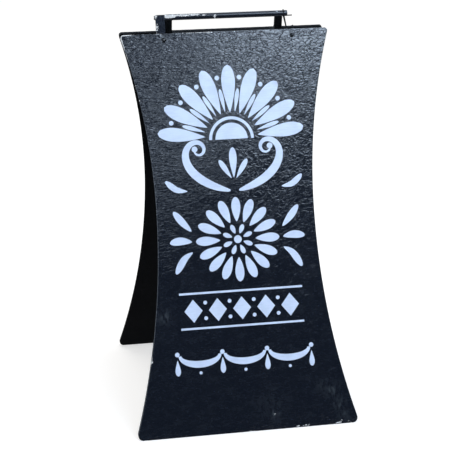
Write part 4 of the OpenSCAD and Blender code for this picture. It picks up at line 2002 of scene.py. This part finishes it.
# Where the handle bar's front is rubbed: across, over its axis, radius and strength.
RUBBED = (
    *((-0.146 + 0.006 * i, 0.0056, 0.0046, 0.50) for i in range(10)),
    *((-0.086 + 0.006 * i, 0.0056, 0.0044, 0.53) for i in range(4)),
    (-0.143, 0.0020, 0.0055, 0.62),
    (-0.136, 0.0030, 0.0040, 0.42),
    (-0.110, 0.0040, 0.0040, 0.34),
    (-0.054, 0.0040, 0.0045, 0.70),
    (-0.046, 0.0036, 0.0040, 0.58),
    (-0.024, 0.0014, 0.0050, 0.62),
)


@dataclass
class Sign:
    """The whole sign, built sub-assembly by sub-assembly."""

    front: BoardShape = BoardShape(Face.FRONT)
    rear: BoardShape = BoardShape(Face.REAR)
    yoke_mid: float = 0.002
    yoke_slack: float = 0.001
    bar_left: float = -0.159
    bar_radius: float = 0.008
    bar_screw_x: float = 0.146
    bar_screw_sunk: float = 0.0003
    bar_screw_end: float = 0.030
    rail_screw_x: tuple[float, ...] = (-0.130, -0.046, 0.046, 0.130)
    rail_screw_s: float = 0.074
    rail_screw_bite: float = 0.009
    strap_mid: float = -0.1718
    strap_width: float = 0.025
    strap_screw_s: float = 0.095
    strap_recess: float = 0.0044
    bolt_in: float = 0.005
    bolt_s: float = 0.0635
    bolt_proud: float = 0.002
    bracket_x: Point2 = (0.1253, 0.0947)
    bracket_s: float = 0.600
    bracket_thick: float = 0.002
    bracket_screw_gap: float = 0.014
    chip_radius: float = 0.0026
    chip_strength: float = 0.80

    def __post_init__(self) -> None:
        """Makes the finishes."""
        self.board_paint = BlackPaint(
            "board_black",
            Coords.BOARD,
            swing=0.42,
            choppy=(0.0135, 0.0088, 0.0088),
            calm=(0.40, 0.90),
        ).make()
        # A darker, matt copy of the black for the boards' walls and inner faces: painted shade.
        self.inside_shade_paint = BlackPaint(
            "inside_black",
            Coords.BOARD,
            black=(0.0022, 0.0024, 0.0030),
            dust=(0.0045, 0.0045, 0.0050),
            ripple_height=0.0003,
            roughness=0.75,
            gloss=0.05,
            seed=61.0,
        ).make()
        # A darker, matt copy of the board's black for the yoke: painted shade.
        self.yoke_shade_paint = BlackPaint(
            "yoke_black",
            black=(0.0020, 0.0022, 0.0028),
            dust=(0.0035, 0.0036, 0.0040),
            ripple_height=0.0003,
            roughness=0.60,
            gloss=0.06,
            seed=31.0,
        ).make()
        self.bar_paint = BlackPaint(
            "bar_black",
            ripple=(0.012, 0.004, 0.004),
            ripple_height=0.00012,
            roughness=0.26,
            gloss=0.26,
            chip=0.0056,
            seed=41.0,
        ).make()
        self.strap_paint = BlackPaint(
            "strap_black",
            ripple=(0.007, 0.007, 0.007),
            ripple_height=0.0009,
            roughness=0.32,
            gloss=0.05,
            chip=0.0034,
            seed=51.0,
        ).make()
        # A darker copy of the board's black for the face bolts: painted shade on their domed heads.
        self.bolt_shade_paint = BlackPaint(
            "bolt_black",
            black=(0.0022, 0.0026, 0.0036),
            ripple=(0.003, 0.003, 0.003),
            ripple_height=0.0002,
            roughness=0.30,
            gloss=0.12,
            chip=0.0022,
            seed=71.0,
        ).make()
        self.white = SignWhite().make()
        self.zinc = Metal("zinc_plate", (0.56, 0.57, 0.58), (0.36, 0.37, 0.38), 0.34).make()
        self.dark = Metal("dark_steel", (0.17, 0.16, 0.15), (0.075, 0.06, 0.05), 0.42).make()
        # Near-black for the tie wire and the keeper nail: painted shade on thin steel.
        self.wire = Metal(
            "wire_steel",
            bright=(0.009, 0.009, 0.010),
            dull=(0.005, 0.005, 0.005),
            roughness=0.70,
            mottle=0.004,
            metallic=0.0,
            gloss=0.08,
        ).make()

    def on_face(self, x: float, up: float, radius: float, strength: float) -> WearSpot:
        """A worn place on the front board's painted face."""
        at = self.front.place(np.array([x]), np.array([up]), np.array([0.0]))[0]
        return WearSpot(tuple(at), radius, strength)

    def boards(self) -> None:
        """Both boards with their ornaments."""
        top = self.front.height
        spots = [self.on_face(x, top - down, *size) for x, down, *size in TOP_WEAR]
        spots += [self.on_face(*place) for place in SIDE_WEAR]
        chips = [self.on_face(*place, self.chip_radius, self.chip_strength) for place in CHIPS]
        scuffs = [self.on_face(*place) for place in SCUFFS]
        wear = BoardWear(tuple(spots), tuple(chips), tuple(scuffs))
        trees = (coat_relief(), ring_of_marks(), row_of_marks())
        # The middle finish is the painted shade of the walls and inner faces.
        coats = (self.board_paint, self.inside_shade_paint, self.white)
        Board(self.front, Body.FRONT_LEG, "front_board", *coats, wear).build(*trees)
        Board(self.rear, Body.REAR_LEG, "rear_board", *coats).build(*trees)

    def handle(self) -> None:
        """The yoke, its bar and what turns or is driven into the bar."""
        z = self.front.axis_height
        worn = [
            WearSpot((x, -math.sqrt(self.bar_radius**2 - rise**2), z + rise), radius, strength)
            for x, rise, radius, strength in RUBBED
        ]
        worn += [
            WearSpot((self.bar_left, -0.004, z + 0.004), 0.009, 0.8),
            WearSpot((-0.020, -0.006, z - 0.006), 0.006, 0.55),
            WearSpot((0.052, -0.006, z - 0.006), 0.005, 0.5),
            WearSpot((0.066, -0.005, z - 0.006), 0.004, 0.5),
        ]
        DressedSolid(
            "handle_bar",
            Body.REAR_LEG,
            Slot.BAR,
            easing=0.0008,
            grain=0.0028,
            reach=1.0,
            base_wear=0.0,
            spots=tuple(worn),
        ).build(self.bar_paint)
        # The yoke takes the darker black, which is painted shade.
        DressedSolid(
            "handle_yoke",
            Body.REAR_LEG,
            Slot.BOARD,
            easing=0.0008,
            grain=0.005,
            reach=0.0018,
            base_wear=0.16,
        ).build(self.yoke_shade_paint)
        DressedSolid("pivot_screw", Body.REAR_LEG, Slot.DARK, easing=0.0004).build(self.dark)
        # The nail takes the wire's near-black, which is painted shade.
        DressedSolid("keeper_nail", Body.REAR_LEG, Slot.DARK, easing=0.0002).build(self.wire)

    def hinge(self) -> None:
        """The strap, the face bolts with their washers and nuts, and the tie wire."""
        z = self.front.axis_height
        left = self.strap_mid - self.strap_width / 2
        strap_spots = (
            WearSpot((left, -0.004, z + 0.004), 0.009, 0.8),
            WearSpot((left + 0.007, -0.012, z - 0.018), 0.008, 0.74),
            WearSpot((left + 0.007, -0.014, z - 0.030), 0.008, 0.78),
            WearSpot((left + 0.003, -0.016, z - 0.042), 0.006, 0.62),
            WearSpot((left + 0.025, -0.013, z - 0.020), 0.012, 0.20),
        )
        DressedSolid(
            "hinge_strap",
            Body.FRONT_LEG,
            Slot.STRAP,
            easing=0.0005,
            grain=0.0024,
            reach=0.0070,
            base_wear=0.06,
            spots=strap_spots,
        ).build(self.strap_paint)
        slot_at = self.front.from_axis(
            self.strap_mid + self.bolt_in, self.bolt_s, self.front.face_off + self.bolt_proud
        )
        # The bolt heads take the darker black, which is painted shade.
        DressedSolid(
            "face_bolts",
            Body.FRONT_LEG,
            Slot.STRAP,
            grain=0.0020,
            reach=0.0010,
            base_wear=0.18,
            spots=(WearSpot(tuple(slot_at), 0.006, 0.36),),
        ).build(self.bolt_shade_paint)
        DressedSolid("bolt_washers", Body.FRONT_LEG, Slot.DARK, easing=0.0002).build(self.dark)
        DressedSolid("bolt_nuts", Body.FRONT_LEG, Slot.DARK, easing=0.0004).build(self.dark)
        # The tie wire's near-black colour is painted shade.
        TieWire(self.front).build(wire_sweep(), self.wire)

    def stays(self) -> None:
        """The folding stays with their brackets, pivots and knees."""
        for side in ("left", "right"):
            front_stay, rear_stay = Body(f"front_stay_{side}"), Body(f"rear_stay_{side}")
            for solid in (
                DressedSolid(f"{side}_front_bracket", Body.FRONT_LEG, Slot.ZINC, grain=0.006),
                DressedSolid(f"{side}_front_pivot", Body.FRONT_LEG, Slot.ZINC),
                DressedSolid(f"{side}_front_stay", front_stay, Slot.ZINC, grain=0.008),
                DressedSolid(f"{side}_rear_bracket", Body.REAR_LEG, Slot.ZINC, grain=0.006),
                DressedSolid(f"{side}_rear_pivot", Body.REAR_LEG, Slot.ZINC),
                DressedSolid(f"{side}_rear_stay", rear_stay, Slot.ZINC, grain=0.008),
                DressedSolid(f"{side}_knee_rivet", front_stay, Slot.ZINC),
                DressedSolid(f"{side}_knee_spacer", front_stay, Slot.ZINC, easing=0.0002),
                DressedSolid(f"{side}_knee_cap", rear_stay, Slot.ZINC),
            ):
                solid.build(self.zinc)

    def _bracket_places(self, shape: BoardShape, x: float) -> tuple[Vector, ...]:
        """Sets out the screws of one board's pair of brackets.

        Args:
            shape: The board.
            x: The brackets' distance from the middle.

        Returns:
            The middle of each head's face.
        """
        n = shape.axis_off - self.bracket_thick
        return tuple(
            shape.from_axis(side * x, self.bracket_s + end * self.bracket_screw_gap, n)
            for side in (-1, 1)
            for end in (-1, 1)
        )

    def screws(self) -> None:
        """All the wood screws."""
        front, rear = self.front, self.rear
        front_x, rear_x = self.bracket_x
        small = WoodScrew(diameter=0.0035, head=0.007, length=0.011)
        long = WoodScrew(diameter=0.0035, head=0.007, length=0.0134)
        yoke_thick = 2 * front.axis_off - self.yoke_slack
        head = 0.008
        sunk = math.sqrt(self.bar_radius**2 - (head / 2) ** 2) - self.bar_screw_sunk
        rail = WoodScrew(diameter=0.004, head=head, length=yoke_thick + self.rail_screw_bite)
        crown = WoodScrew(diameter=0.004, head=head, length=sunk + self.bar_screw_end)
        strap_at = front.from_axis(
            self.strap_mid, self.strap_screw_s, front.axis_off - self.strap_recess
        )
        rail_at = tuple(
            rear.from_axis(self.yoke_mid + x, self.rail_screw_s, front.axis_off - yoke_thick)
            for x in self.rail_screw_x
        )
        bar_at = tuple(
            rear.from_axis(self.yoke_mid + side * self.bar_screw_x, -sunk, 0.0) for side in (-1, 1)
        )
        tree = screws_in_places()
        for node, body, screw, places, head_faces in (
            (
                "front_bracket_screws",
                Body.FRONT_LEG,
                small,
                self._bracket_places(front, front_x),
                -front.outwards,
            ),
            (
                "rear_bracket_screws",
                Body.REAR_LEG,
                small,
                self._bracket_places(rear, rear_x),
                -rear.outwards,
            ),
            ("strap_screw", Body.FRONT_LEG, long, (strap_at,), -front.outwards),
            ("yoke_screws", Body.REAR_LEG, rail, rail_at, -rear.outwards),
            ("bar_screws", Body.REAR_LEG, crown, bar_at, rear.upwards),
        ):
            ScrewSet(node, body, screw, places, head_faces).build(tree, self.zinc)

    def build(self) -> None:
        """Builds every sub-assembly in order."""
        self.boards()
        self.handle()
        self.hinge()
        self.stays()
        self.screws()


def main() -> None:
    """Builds the sign and the studio."""
    logging.basicConfig(level=logging.INFO, format="%(name)s: %(message)s")
    bpy.context.scene.view_settings.view_transform = "Standard"
    Studio().build()
    Sign().build()


if __name__ == "__main__":
    main()
